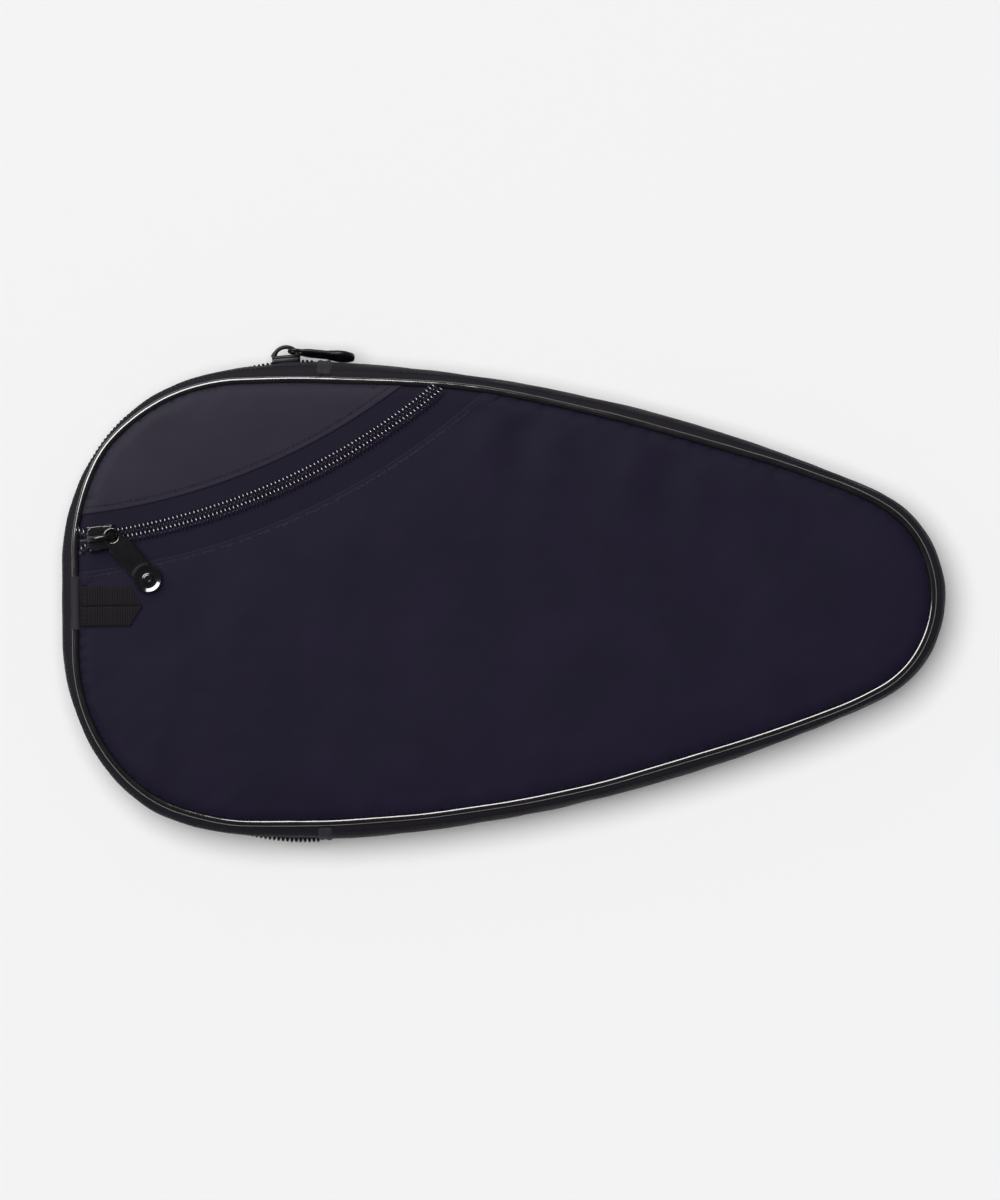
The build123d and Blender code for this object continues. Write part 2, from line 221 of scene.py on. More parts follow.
def trace(o, spacing):
    """Evenly spaced points and normals round an outline."""
    points, normals = dense_outline(o)
    ring = np.concatenate([points, points[:1]])
    walked = walk(ring)
    count = int(round(walked[-1] / spacing))
    at = np.linspace(0, walked[-1], count, endpoint=False)
    turned = np.concatenate([normals, normals[:1]])
    return carry(at, walked, ring), to_unit(carry(at, walked, turned))


def reach(points, normals, target):
    """How far each point is from the target outline, along its normal."""
    most_inwards, most_outwards = -8, 30
    far = dense_outline(target, 0.1)[0]
    found = np.zeros(len(points))
    for i, (p, n) in enumerate(zip(points, normals)):
        v = far - p
        along = v @ n
        off = np.abs(v[:, 0] * n[1] - v[:, 1] * n[0])
        off[(along < most_inwards) | (along > most_outwards)] = np.inf
        found[i] = along[off.argmin()]
    return found


def circle_reach(points, normals, radius):
    """How far each point is from a circle about the origin, along its normal."""
    b = (points * normals).sum(1)
    return -b + np.sqrt(np.clip(b * b - (points * points).sum(1) + radius * radius, 0, None))


def edge_distance(points, outline):
    """How far inside the outline each point is. It is negative outside."""
    ring, out = dense_outline(outline, 0.5)
    batch = 1500
    found = np.zeros(len(points))
    for first in range(0, len(points), batch):
        part = points[first : first + batch]
        gap = ((part[:, None, :] - ring[None]) ** 2).sum(2)
        near = gap.argmin(1)
        inside = ((ring[near] - part) * out[near]).sum(1)
        found[first : first + batch] = np.sqrt(gap[np.arange(len(part)), near]) * np.sign(inside)
    return found


# ---- materials ----------------------------------------------------------------------
def new_material(name, colour, roughness):
    made = bpy.data.materials.new(name)
    made.use_nodes = True
    shader = made.node_tree.nodes["Principled BSDF"]
    shader.inputs["Base Color"].default_value = (*colour, 1)
    shader.inputs["Roughness"].default_value = roughness
    return made, made.node_tree, shader


def node(tree, kind, **values):
    made = tree.nodes.new("ShaderNode" + kind)
    for key, value in values.items():
        if hasattr(made, key):
            setattr(made, key, value)
        else:
            made.inputs[key.replace("_", " ")].default_value = value
    return made


def noise(tree, coordinates, scale, detail):
    made = node(tree, "TexNoise")
    made.inputs["Scale"].default_value = scale
    made.inputs["Detail"].default_value = detail
    tree.links.new(coordinates, made.inputs["Vector"])
    return made.outputs["Fac"]


def waves(tree, coordinates, direction, pitch):
    """Ridges of the given pitch in metres, across u, v or both."""
    made = node(tree, "TexWave", wave_type="BANDS", bands_direction=direction)
    pitch_at_scale_1 = math.tau / 20
    made.inputs["Scale"].default_value = pitch_at_scale_1 / pitch
    tree.links.new(coordinates, made.inputs["Vector"])
    return made.outputs["Fac"]


def combine(tree, operation, a, b):
    made = node(tree, "Math", operation=operation)
    for socket, value in zip(made.inputs, (a, b)):
        if isinstance(value, (int, float)):
            socket.default_value = value
        else:
            tree.links.new(value, socket)
    return made.outputs[0]


def spread(tree, value, low, high, socket):
    """Runs a value from low to high into a socket."""
    made = node(tree, "MapRange")
    made.inputs["To Min"].default_value = low
    made.inputs["To Max"].default_value = high
    tree.links.new(value, made.inputs["Value"])
    tree.links.new(made.outputs["Result"], socket)


def tint(tree, value, dark, light, shader):
    """Runs a value from a dark to a light colour into the base colour."""
    made = node(tree, "ValToRGB")
    made.color_ramp.elements[0].position = 0.3
    made.color_ramp.elements[0].color = (*dark, 1)
    made.color_ramp.elements[1].position = 0.7
    made.color_ramp.elements[1].color = (*light, 1)
    tree.links.new(value, made.inputs["Fac"])
    tree.links.new(made.outputs["Color"], shader.inputs["Base Color"])


def bump(tree, height, distance, strength, shader):
    """Turns a height into the shader's normals."""
    made = node(tree, "Bump")
    made.inputs["Distance"].default_value = distance
    made.inputs["Strength"].default_value = strength
    tree.links.new(height, made.inputs["Height"])
    tree.links.new(made.outputs["Normal"], shader.inputs["Normal"])


def cloth_material(name, colour, roughness, pitch, depth, sheen, twill=False):
    """Woven cloth: threads both ways, slow mottling, and shine where it is rubbed."""
    mottle = 0.12
    made, tree, shader = new_material(name, colour, roughness)
    shader.inputs["Sheen Weight"].default_value = sheen
    shader.inputs["Sheen Roughness"].default_value = 0.45
    shader.inputs["Specular IOR Level"].default_value = 0.05
    uv = node(tree, "UVMap", uv_map="UVMap").outputs["UV"]
    warp = waves(tree, uv, "X", pitch)
    weft = waves(tree, uv, "DIAGONAL" if twill else "Y", pitch * (1.4 if twill else 0.9))
    threads = combine(tree, "MULTIPLY", warp, weft)
    fluff = noise(tree, uv, scale=2200.0, detail=2.0)
    slow = noise(tree, uv, scale=22.0, detail=4.0)
    bump(tree, combine(tree, "ADD", threads, combine(tree, "MULTIPLY", fluff, 0.5)), depth, 0.6, shader)
    shares = combine(tree, "MULTIPLY", slow, 0.75), combine(tree, "MULTIPLY", threads, 0.25)
    shade = combine(tree, "ADD", *shares)
    tint(tree, shade, [c * (1 - mottle) for c in colour], [c * (1 + mottle) for c in colour], shader)
    spread(tree, slow, roughness - 0.08, roughness + 0.08, shader.inputs["Roughness"])
    return made


def gloss_material(name, colour, roughness, coat, grain, depth, shine=0.5):
    """Coated or lacquered black, with a fine grain and faint handling marks."""
    made, tree, shader = new_material(name, colour, roughness)
    shader.inputs["Coat Weight"].default_value = coat
    shader.inputs["Coat Roughness"].default_value = 0.12
    shader.inputs["Specular IOR Level"].default_value = shine
    where = node(tree, "TexCoord").outputs["Object"]
    fine = noise(tree, where, scale=grain, detail=3.0)
    slow = noise(tree, where, scale=90.0, detail=4.0)
    bump(tree, fine, depth, 0.5, shader)
    tint(tree, slow, [c * 0.75 for c in colour], [c * 1.35 for c in colour], shader)
    spread(tree, slow, roughness - 0.06, roughness + 0.12, shader.inputs["Roughness"])
    return made


# name, colour, roughness, thread pitch and depth in metres, and sheen
panel_look = cloth_material("panel_cloth", (0.0130, 0.0102, 0.0235), 0.60, 0.00055, 0.00005, 0.012)
corner_look = cloth_material("corner_cloth", (0.0275, 0.0240, 0.0385), 0.58, 0.00055, 0.00005, 0.02)
gusset_look = cloth_material("gusset_cloth", (0.0150, 0.0125, 0.0170), 0.66, 0.00060, 0.00007, 0.02)
tape_look = cloth_material("zip_tape", (0.0128, 0.0102, 0.0225), 0.72, 0.00090, 0.00012, 0.01, twill=True)
webbing_look = cloth_material("webbing", (0.0138, 0.0113, 0.0142), 0.62, 0.00045, 0.00010, 0.03)
binding_look = cloth_material("binding", (0.0200, 0.0195, 0.0220), 0.70, 0.00070, 0.00010, 0.15)
lining_look = cloth_material("lining", (0.0520, 0.0520, 0.0570), 0.66, 0.00050, 0.00006, 0.25)
foam_look = cloth_material("foam", (0.1200, 0.1200, 0.1300), 0.85, 0.00200, 0.00020, 0.05)
wrap_look = cloth_material("wrap_cloth", (0.0360, 0.0320, 0.0390), 0.70, 0.00060, 0.00008, 0.03)
thread_look = cloth_material("thread", (0.0170, 0.0145, 0.0230), 0.45, 0.00030, 0.00005, 0.05)
# name, colour, roughness, coat, scale of the grain per metre, its depth in metres, and shine
piping_look = gloss_material("piping", (0.0060, 0.0055, 0.0065), 0.20, 1.0, 900.0, 0.00005)
# the pocket coil has about the tape's own colour, made a little lighter still, which paints light into the
# shade between its wires
coil_look = gloss_material("zip_coil", (0.0150, 0.0122, 0.0250), 0.18, 0.6, 1500.0, 0.00002)
metal_look = gloss_material("zip_metal", (0.0040, 0.0034, 0.0046), 0.16, 1.0, 700.0, 0.00001)
slider_look = gloss_material("zip_slider", (0.0042, 0.0036, 0.0048), 0.24, 0.3, 700.0, 0.00001, 0.30)
side_coil_look = gloss_material("side_zip_coil", (0.0060, 0.0054, 0.0076), 0.50, 0.0, 1500.0, 0.00002, 0.12)
side_metal_look = gloss_material("side_zip_metal", (0.0045, 0.0038, 0.0052), 0.36, 0.0, 700.0, 0.00001, 0.16)


# ---- mesh helpers -------------------------------------------------------------------
def make_object(name, verts, faces, uvs, look, slot_name):
    """A mesh object from points in millimetres, with one uv per point, in metres."""
    mesh = bpy.data.meshes.new(name)
    mesh.from_pydata((np.asarray(verts) * MM).tolist(), [], [list(map(int, f)) for f in faces])
    layer = mesh.uv_layers.new(name="UVMap")
    corner = np.zeros(len(mesh.loops), np.int32)
    mesh.loops.foreach_get("vertex_index", corner)
    layer.data.foreach_set("uv", (np.asarray(uvs)[corner] * MM).astype(np.float32).ravel())
    mesh.shade_smooth()
    mesh.materials.append(look)
    made = bpy.data.objects.new(name, mesh)
    scene.collection.objects.link(made)
    return made


def grid_faces(rows, columns, closed_rows=False, closed_columns=False, first=0):
    """Quads over a grid of points numbered along its columns."""
    found = []
    for i in range(rows if closed_rows else rows - 1):
        a, b = i * columns, (i + 1) % rows * columns
        for j in range(columns if closed_columns else columns - 1):
            k = (j + 1) % columns
            found.append((first + a + j, first + b + j, first + b + k, first + a + k))
    return found


def tube_faces(rows, columns, first=0):
    """Quads round a tube, and the two caps at its ends."""
    last = first + (rows - 1) * columns
    caps = [tuple(range(first, first + columns)), tuple(reversed(range(last, last + columns)))]
    return grid_faces(rows, columns, closed_columns=True, first=first) + caps


def grid_uvs(grid):
    """How far along and across the grid each point is."""
    along = np.linalg.norm(np.diff(grid, axis=0), axis=2).mean(1)
    across = np.linalg.norm(np.diff(grid, axis=1), axis=2)
    u = np.concatenate([[0], np.cumsum(along)])
    v = np.concatenate([np.zeros((len(grid), 1)), np.cumsum(across, axis=1)], 1)
    return np.stack([np.broadcast_to(u[:, None], v.shape), v], 2).reshape(-1, 2)


def finish_mesh(made):
    """Applies the modifiers, so that the mesh is final."""
    graph = bpy.context.evaluated_depsgraph_get()
    mesh = bpy.data.meshes.new_from_object(made.evaluated_get(graph))
    made.modifiers.clear()
    made.data = mesh
    mesh.shade_smooth()
    return made


def subdivide(made, levels):
    """Smooths a mesh with the given number of subdivisions."""
    step = made.modifiers.new("smooth", "SUBSURF")
    step.levels = levels
    step.render_levels = levels
    return finish_mesh(made)


def thicken(made, thickness, offset=-1.0):
    """Gives a sheet its thickness: offset -1 puts it all below the sheet, 0 puts the sheet in its middle."""
    step = made.modifiers.new("thickness", "SOLIDIFY")
    step.thickness = thickness * MM
    step.offset = offset
    step.use_even_offset = False
    return finish_mesh(made)


def sheet_object(name, grid, look, slot_name, thickness, levels=1, offset=-1.0, flip=False):
    """A smooth sheet over a grid of points, made thick on the side away from its normals or on both."""
    faces = grid_faces(*grid.shape[:2])
    if flip:
        faces = [f[::-1] for f in faces]
    made = make_object(name, grid.reshape(-1, 3), faces, grid_uvs(grid), look, slot_name)
    if levels:
        subdivide(made, levels)
    return thicken(made, thickness, offset)


def sweep(path, ups, section, closed=False):
    """Points of a section carried along a path: x of the section is sideways, y is along ups."""
    if closed:
        ahead = np.roll(path, -1, 0) - np.roll(path, 1, 0)
    else:
        ahead = np.gradient(path, axis=0)
    ahead = to_unit(ahead)
    side = to_unit(np.cross(ahead, ups))
    lift = np.cross(side, ahead)
    section = np.asarray(section)
    if section.ndim == 2:
        section = np.broadcast_to(section, (len(path), *section.shape))
    return path[:, None, :] + side[:, None, :] * section[:, :, :1] + lift[:, None, :] * section[:, :, 1:2]


def round_section(radius, sides):
    """Points round a round section."""
    return circle(np.arange(sides) / sides * math.tau) * radius


def inside_polygon(points, loop):
    """True where a point is inside the closed loop."""
    x, y = points[:, 0], points[:, 1]
    found = np.zeros(len(points), bool)
    for (x0, y0), (x1, y1) in zip(loop, np.roll(loop, -1, 0)):
        crosses = (y0 > y) != (y1 > y)
        if crosses.any():
            at = x0 + (y - y0) * (x1 - x0) / (y1 - y0 if y1 != y0 else 1e-9)
            found ^= crosses & (x < at)
    return found


def loop_distance(points, loops):
    """How far each point is from the nearest edge of the loops."""
    best = np.full(len(points), 1e9)
    for loop in loops:
        for a, b in zip(loop, np.roll(loop, -1, 0)):
            d = b - a
            t = np.clip(((points - a) @ d) / max(d @ d, 1e-9), 0, 1)
            best = np.minimum(best, np.linalg.norm(points - a - t[:, None] * d, axis=1))
    return best


def fill(loops, spacing):
    """A triangle mesh inside the first loop and outside the others."""
    row_share, clear_share = 0.866, 0.55
    low, high = loops[0].min(0), loops[0].max(0)
    rows = np.arange(low[1], high[1], spacing * row_share)
    inner = []
    for k, y in enumerate(rows):
        x = np.arange(low[0] + (k % 2) * spacing / 2, high[0], spacing)
        inner.append(np.stack([x, np.full(len(x), y)], 1))
    inner = np.concatenate(inner)
    keep = inside_polygon(inner, loops[0])
    for hole in loops[1:]:
        keep &= ~inside_polygon(inner, hole)
    inner = inner[keep]
    inner = inner[loop_distance(inner, loops) > spacing * clear_share]
    edges, start = [], 0
    for loop in loops:
        edges += [(start + i, start + (i + 1) % len(loop)) for i in range(len(loop))]
        start += len(loop)
    points = np.concatenate([*loops, inner])
    found = delaunay_2d_cdt([Vector(p) for p in points], edges, [], 1, 1e-6)
    flat = np.array([tuple(v) for v in found[0]])
    triangles = [tuple(f) for f in found[2]]
    if len(loops) > 1:
        centres = np.array([flat[list(t)].mean(0) for t in triangles])
        out = np.zeros(len(triangles), bool)
        for hole in loops[1:]:
            out |= inside_polygon(centres, hole)
        triangles = [t for t, o in zip(triangles, out) if not o]
    return flat, triangles


def surface_of(*objects):
    """Something to land points on."""
    verts, faces = [], []
    for made in objects:
        start = len(verts)
        verts += [made.matrix_world @ v.co for v in made.data.vertices]
        faces += [[start + k for k in p.vertices] for p in made.data.polygons]
    return BVHTree.FromPolygons(verts, faces)


def land(tree, points, directions):
    """Points moved onto a surface along their directions, and the surface's normals there."""
    start_away, reach_share = 6.0, 2.5
    spots, normals = [], []
    for p, d in zip(points, directions):
        d = Vector(d).normalized()
        start = Vector(p) * MM - d * start_away * MM
        hit = tree.ray_cast(start, d, reach_share * start_away * MM)
        spots.append(np.array(hit[0]) / MM if hit[0] else np.array(p))
        normals.append(np.array(hit[1]) if hit[0] else -np.array(d))
    normals = np.array(normals)
    facing = (normals * -np.asarray(directions)).sum(1)
    return np.array(spots), normals * np.where(facing < 0, -1.0, 1.0)[:, None]


def resample(path, spacing):
    """Evenly spaced points along an open path."""
    walked = walk(path)
    count = max(2, int(walked[-1] / spacing))
    return carry(np.linspace(0, walked[-1], count), walked, path)


def stitch_object(name, runs, length=2.1, radius=0.34):
    """Lockstitches: one short plump thread, with sunken ends, between each pair of holes along every run."""
    shares = (0.0, 0.14, 0.38, 0.62, 0.86, 1.0)
    sizes = (0.35, 0.85, 1.0, 1.0, 0.85, 0.35)
    sinks = (0.32, 0.0, -0.12, -0.12, 0.0, 0.32)
    sides = 6
    shortest = 0.5
    lift_share = 0.25
    uv_step = 0.3
    verts, faces, uvs = [], [], []
    for path, normals in runs:
        for a, b, n in zip(path[:-1], path[1:], normals[:-1]):
            step = b - a
            whole = np.linalg.norm(step)
            if whole < shortest:
                continue
            ahead = step / whole
            start = a + step * (1 - min(1.0, length / whole)) / 2
            side = np.cross(ahead, n)
            first = len(verts)
            for share, size, sink in zip(shares, sizes, sinks):
                lift = radius * lift_share - sink * radius * 2
                centre = start + ahead * share * min(length, whole) + n * lift
                for k in range(sides):
                    turn = k / sides * math.tau
                    verts.append(centre + (side * math.cos(turn) + n * math.sin(turn)) * radius * size)
                    uvs.append((share * length, k * uv_step))
            faces += tube_faces(len(shares), sides, first)
    return make_object(name, verts, faces, uvs, thread_look, "binding")


# ---- shapes of many parts, in a frame of their own ----------------------------------
Shape = namedtuple("Shape", "verts faces uvs")
# points closer to a loop than this are on it
touching = 1e-4


def merge(shapes):
    """Several shapes as one."""
    verts, faces, uvs, start = [], [], [], 0
    for s in shapes:
        verts.append(np.asarray(s.verts, float))
        uvs.append(np.asarray(s.uvs, float))
        faces += [tuple(start + k for k in f) for f in s.faces]
        start += len(s.verts)
    return Shape(np.concatenate(verts), faces, np.concatenate(uvs))


def place(shape, origin, x_axis, z_axis):
    """A shape moved from its own frame into the part's."""
    axes = np.stack([x_axis, np.cross(z_axis, x_axis), z_axis])
    return Shape(np.asarray(shape.verts) @ axes + origin, shape.faces, shape.uvs)


def tube_shape(path, ups, section, closed=False):
    """A tube of the given section along a path: a ring, or with caps at its ends."""
    grid = sweep(path, ups, section, closed)
    rows, columns = grid.shape[:2]
    if closed:
        faces = grid_faces(rows, columns, closed_rows=True, closed_columns=True)
    else:
        faces = tube_faces(rows, columns)
    return Shape(grid.reshape(-1, 3), faces, grid_uvs(grid))


def plate_shape(loops, spacing, half, rim):
    """A plate with rounded rims: half gives its half thickness at each point."""
    flat, triangles = fill(loops, spacing)
    away = loop_distance(flat, loops)
    thick = half(flat) if callable(half) else np.full(len(flat), float(half))
    share = 1 - np.clip(away / rim, 0, 1)
    height = thick * np.sqrt(np.clip(1 - share * share, 0, 1))
    on_rim = away < touching
    upper = raised(flat, height)
    lower = raised(flat, -height)
    index = np.arange(len(flat)) + len(flat)
    index[on_rim] = np.arange(len(flat))[on_rim]
    faces = [tuple(t) for t in triangles] + [tuple(index[k] for k in reversed(t)) for t in triangles]
    used = np.zeros(2 * len(flat), bool)
    used[[k for f in faces for k in f]] = True
    renumber = np.cumsum(used) - 1
    verts = np.concatenate([upper, lower])[used]
    uvs = np.concatenate([flat, flat])[used]
    return Shape(verts, [tuple(renumber[k] for k in f) for f in faces], uvs)


def shape_object(name, shape, look, slot_name, body):
    """A shape as an object that rides on a body."""
    made = make_object(name, shape.verts, shape.faces, shape.uvs, look, slot_name)
    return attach(made, body)


def rounded_loop(corners, radius, steps=5):
    """A closed loop with its corners rounded."""
    largest_share = 0.45
    found = []
    for before, corner, after in zip(np.roll(corners, 1, 0), corners, np.roll(corners, -1, 0)):
        sides = [np.linalg.norm(end - corner) for end in (before, after)]
        cut = min(radius, sides[0] * largest_share, sides[1] * largest_share)
        first = corner + (before - corner) / sides[0] * cut
        last = corner + (after - corner) / sides[1] * cut
        for t in np.linspace(0, 1, steps):
            found.append((1 - t) ** 2 * first + 2 * t * (1 - t) * corner + t * t * last)
    return np.array(found)


# ---- tracks round the case ----------------------------------------------------------
track_step = 3.0
track_p, track_n = trace(piping_line, track_step)
to_widest = reach(track_p, track_n, widest)
to_tape = circle_reach(track_p, track_n, tape_radius)
outer_x = track_p[:, 0] + track_n[:, 0] * to_widest
track_count = len(track_p)
seam_overlap = 1.6


def run_of(mask):
    """The numbers of the one run of points where the mask holds, in order."""
    start = int(np.flatnonzero(mask & ~np.roll(mask, 1))[0])
    return (start + np.arange(int(mask.sum()))) % len(mask)


strip_ids = run_of(outer_x < zip_end_x + seam_overlap)
gusset_ids = run_of(outer_x > zip_end_x - seam_overlap)


def ripples(u, v, count, scale, seed):
    """Smooth random waves of about the given length."""
    rng = np.random.default_rng(seed)
    total = np.zeros(np.shape(u))
    for _ in range(count):
        angle, size, phase = rng.uniform(0, math.tau), rng.uniform(0.6, 1.7), rng.uniform(0, math.tau)
        total += np.sin((u * math.cos(angle) + v * math.sin(angle)) * math.tau / (scale * size) + phase)
    return total / math.sqrt(count)


def band_grid(ids, rows, wrinkle=0.0, seed=1):
    """Points round the case. A row is (share of the way to the widest line, share to the tape, more, z)."""
    wrinkled_from = 0.25
    columns = []
    for share, tape_share, more, z in rows:
        d = share * to_widest[ids] + tape_share * to_tape[ids] + more
        flat = track_p[ids] + track_n[ids] * d[:, None]
        if wrinkle and share > wrinkled_from:
            u, v = flat[:, 0] + z * 0.9, flat[:, 1] - z * 0.6
            shift = wrinkle * ripples(u, v, count=7, scale=26.0, seed=seed)
            flat = flat + track_n[ids] * shift[:, None]
        columns.append(raised(flat, z))
    return np.stack(columns, 1)


def back_rows(rows):
    """The same rows on the back half of the case."""
    return [(a, b, c, case_depth - z) for a, b, c, z in rows]


shoulder_rows = [
    (0.05, 0, 0.2, 49.7),
    (0.22, 0, 1.2, 49.6),
    (0.42, 0, 1.3, 48.9),
    (0.62, 0, 1.0, 47.4),
    (0.80, 0, 0.6, 45.0),
    (0.93, 0, 0.2, 42.0),
]
strip_rows = [
    *shoulder_rows,
    (1, 0, 0.0, 39.2),
    (1, 0, 0.0, 37.4),
    (1, 0, -0.4, 36.6),
    (0.72, 0.28, 0.0, 36.25),
    (0.4, 0.6, 0.0, 36.3),
    (0.1, 0.9, 0.0, 36.6),
    (0, 1, 0.1, 37.6),
]
upper_gusset_rows = [*shoulder_rows, (1, 0, -0.1, 38.6), (1, 0, 0.1, 35.0), (1, 0, 0.25, 31.0)]
gusset_rows = [*upper_gusset_rows, (1, 0, 0.3, mid_z), *back_rows(upper_gusset_rows[::-1])]

# ---- strips, gusset and tapes -------------------------------------------------------
strip_thickness = 1.1
gusset_thickness = 1.2
gusset_pad_thickness = 2.6
lining_thickness = 0.5
front_strip_grid = band_grid(strip_ids, strip_rows, wrinkle=0.16, seed=3)
back_strip_grid = band_grid(strip_ids, back_rows(strip_rows), wrinkle=0.16, seed=4)
gusset_grid = band_grid(gusset_ids, gusset_rows, wrinkle=0.22, seed=5)
front_strip = sheet_object("front_zip_strip", front_strip_grid, gusset_look, "gusset_cloth", strip_thickness)
back_strip = sheet_object(
    "back_zip_strip_cloth", back_strip_grid, gusset_look, "gusset_cloth", strip_thickness, flip=True
)
gusset = sheet_object("gusset_cloth_shell", gusset_grid, gusset_look, "gusset_cloth", gusset_thickness)
lining_rows = [
    (0.0, 0, -2.2, 45.2),
    (0.3, 0, -2.9, 43.5),
    (0.7, 0, -4.1, 40.0),
    (1, 0, -5.0, 35.5),
    (1, 0, -5.2, mid_z),
    (1, 0, -5.0, 18.5),
    (0.7, 0, -4.1, 14.0),
    (0.3, 0, -2.9, 10.5),
    (0.0, 0, -2.2, 8.8),
]
lining_grid = band_grid(gusset_ids, lining_rows, wrinkle=0.5, seed=6)
gusset_inside = sheet_object(
    "gusset_lining_cloth", lining_grid, lining_look, "lining", lining_thickness, flip=True
)
pad_rows = [(0.25, 0, -1.6, 44.5), (0.72, 0, -2.6, 41.0), (1, 0, -3.1, 36.0), (1, 0, -3.1, mid_z)]
pad_rows = pad_rows + back_rows(pad_rows[-2::-1])
pad_grid = band_grid(gusset_ids, pad_rows)
gusset_pad = sheet_object("gusset_pad", pad_grid, foam_look, "foam", gusset_pad_thickness, levels=0)


def arc_points(radius, first_deg, last_deg, spacing):
    """Points and angles along an arc about the origin."""
    count = int(abs(math.radians(last_deg - first_deg)) * radius / spacing)
    angle = np.radians(np.linspace(first_deg, last_deg, count))
    return circle(angle) * radius, angle


tape_end_x = zip_end_x + seam_overlap
end_deg = math.degrees(math.acos(tape_end_x / tape_radius))
tape_levels = np.array([0.45, 2.5, 5.0, 7.5, 10.6])
tape_thickness = 0.7


def main_tape(name, side):
    """One half of the main zip's tape, a band about the origin."""
    flat = arc_points(tape_radius - tape_thickness / 2, 360 - end_deg, end_deg, track_step)[0]
    grid = np.stack([raised(flat, z) for z in mid_z + side * tape_levels], 1)
    return sheet_object(name, grid, tape_look, "zip_tape", tape_thickness, levels=0, offset=0.0)


front_tape = main_tape("front_zip_tape", 1)
back_tape = main_tape("back_zip_tape_cloth", -1)

# ---- zip coils ----------------------------------------------------------------------
# each loop of a coil runs across its tape by loop_reach to either side of loop_middle, and up and down
# by loop_rise from loop_height
pitch = 2.46
wire_r = 0.62
wire_sides = 8
loop_middle = 2.2
loop_reach = 2.5
loop_height = 0.95
loop_rise = 1.75


def coil_shape(spine, across, up, hand, phase, fan=0.0):
    """A zip coil of one wire, wound along a spine. hand is 1 or -1, as the coils of a chain mirror each other.
    phase is the share of a tooth at which it starts, and fan how far it has moved out along the spine."""
    walked = walk(spine)
    steps = 16
    squareness = 1.7
    teeth = int(walked[-1] / pitch - phase)
    turn = np.arange(teeth * steps + 1) / steps * math.tau
    at = (turn / math.tau + phase) * pitch
    middle, out, high = [carry(at, walked, values) for values in (spine, across, up)]
    ahead = to_unit(carry(at, walked, np.gradient(spine, axis=0)))
    offset = loop_middle + loop_reach * np.cos(turn) + np.interp(at, walked, np.broadcast_to(fan, len(spine)))
    squeeze = hand * np.sign(np.sin(turn)) * np.abs(np.sin(turn)) ** squareness
    wire = middle + out * offset[:, None] + high * (loop_height + loop_rise * squeeze)[:, None]
    return tube_shape(wire, ahead, round_section(wire_r, wire_sides))


chain_stops_before = 5.0
spine_step = 1.2
chain_deg = math.degrees(math.acos((zip_end_x - chain_stops_before) / coil_radius))
chain_flat, chain_angle = arc_points(coil_radius, 360 - chain_deg, chain_deg, spine_step)
chain_out = raised(circle(chain_angle), 0.0)
chain_spine = raised(chain_flat, mid_z)
upwards = upright(len(chain_spine))
front_coil_shape = coil_shape(chain_spine, upwards, chain_out, hand=1, phase=0.0)
back_coil_shape = coil_shape(chain_spine, -upwards, chain_out, hand=-1, phase=0.5)
front_coil = make_object("front_zip_chain", *front_coil_shape, side_coil_look, "zip_coil")
back_coil = make_object("back_zip_chain", *back_coil_shape, side_coil_look, "zip_coil")

# ---- front panel --------------------------------------------------------------------
seam_z = 50.0
panel_top = case_depth - 0.1
crown_start = 1.0
crown_width = 9.0


def crown_share(away):
    """How much of its full rise a panel has at a distance from the piping: steep at first, then level."""
    t = np.clip((away - crown_start) / crown_width, 0, 1)
    return np.sqrt(1 - (1 - t) ** 2)


def crown(points):
    """Height of the front cloth, before its folds."""
    return seam_z + (panel_top - seam_z) * crown_share(edge_distance(points, piping_line))


# broad soft folds that run in from the long edge: x, y, heading in degrees, length, half width, height
soft_folds = (
    (104, 112, -96, 70, 9, 0.9),
    (126, 108, -100, 95, 10, -0.8),
    (146, 104, -98, 88, 11, 0.8),
    (190, 92, -100, 80, 9, 0.7),
    (208, 86, -97, 95, 10, -0.7),
    (226, 82, -95, 90, 9, 0.6),
    (262, -60, 98, 60, 8, 0.5),
    (60, -112, 92, 55, 14, 0.6),
    (20, -116, 84, 60, 12, -0.5),
)


def relief(points):
    """How far the front cloth rises and dips where nothing is sewn to it."""
    fold_gain, fold_start, fold_flare = 1.6, 14, 0.5
    away = edge_distance(points, piping_line)
    total = 0.42 * ripples(*points.T, count=9, scale=78.0, seed=11) * smooth(away / 26)
    total += 0.10 * ripples(*points.T, count=9, scale=21.0, seed=12) * smooth(away / 12)
    for x, y, heading, length, half, height in soft_folds:
        angle = math.radians(heading)
        ahead = np.array([math.cos(angle), math.sin(angle)])
        along = (points - [x, y]) @ ahead
        aside = (points - [x, y]) @ np.array([-ahead[1], ahead[0]])
        share = smooth(along / fold_start) * smooth(1 - along / length)
        spread_half = half * (1 + fold_flare * along / length)
        total += fold_gain * height * share * np.exp(-((aside / spread_half) ** 2))
    return total * free_share(points)


def free_share(points):
    """0 beside the pocket zip, the pull and the hang loop, 1 away from them."""
    margin, fade, pull_fade = 2, 26, 1.6
    pull_centre, pull_reach = [-102, 8], [46, 34]
    r = np.linalg.norm(points - pocket_centre, axis=1)
    from_slot = np.maximum(r - pocket_r - slot_below - margin, pocket_r - slot_above - margin - r)
    from_pull = np.linalg.norm((points - pull_centre) / pull_reach, axis=1) - 1
    return smooth(from_slot / fade) * smooth(from_pull * pull_fade)


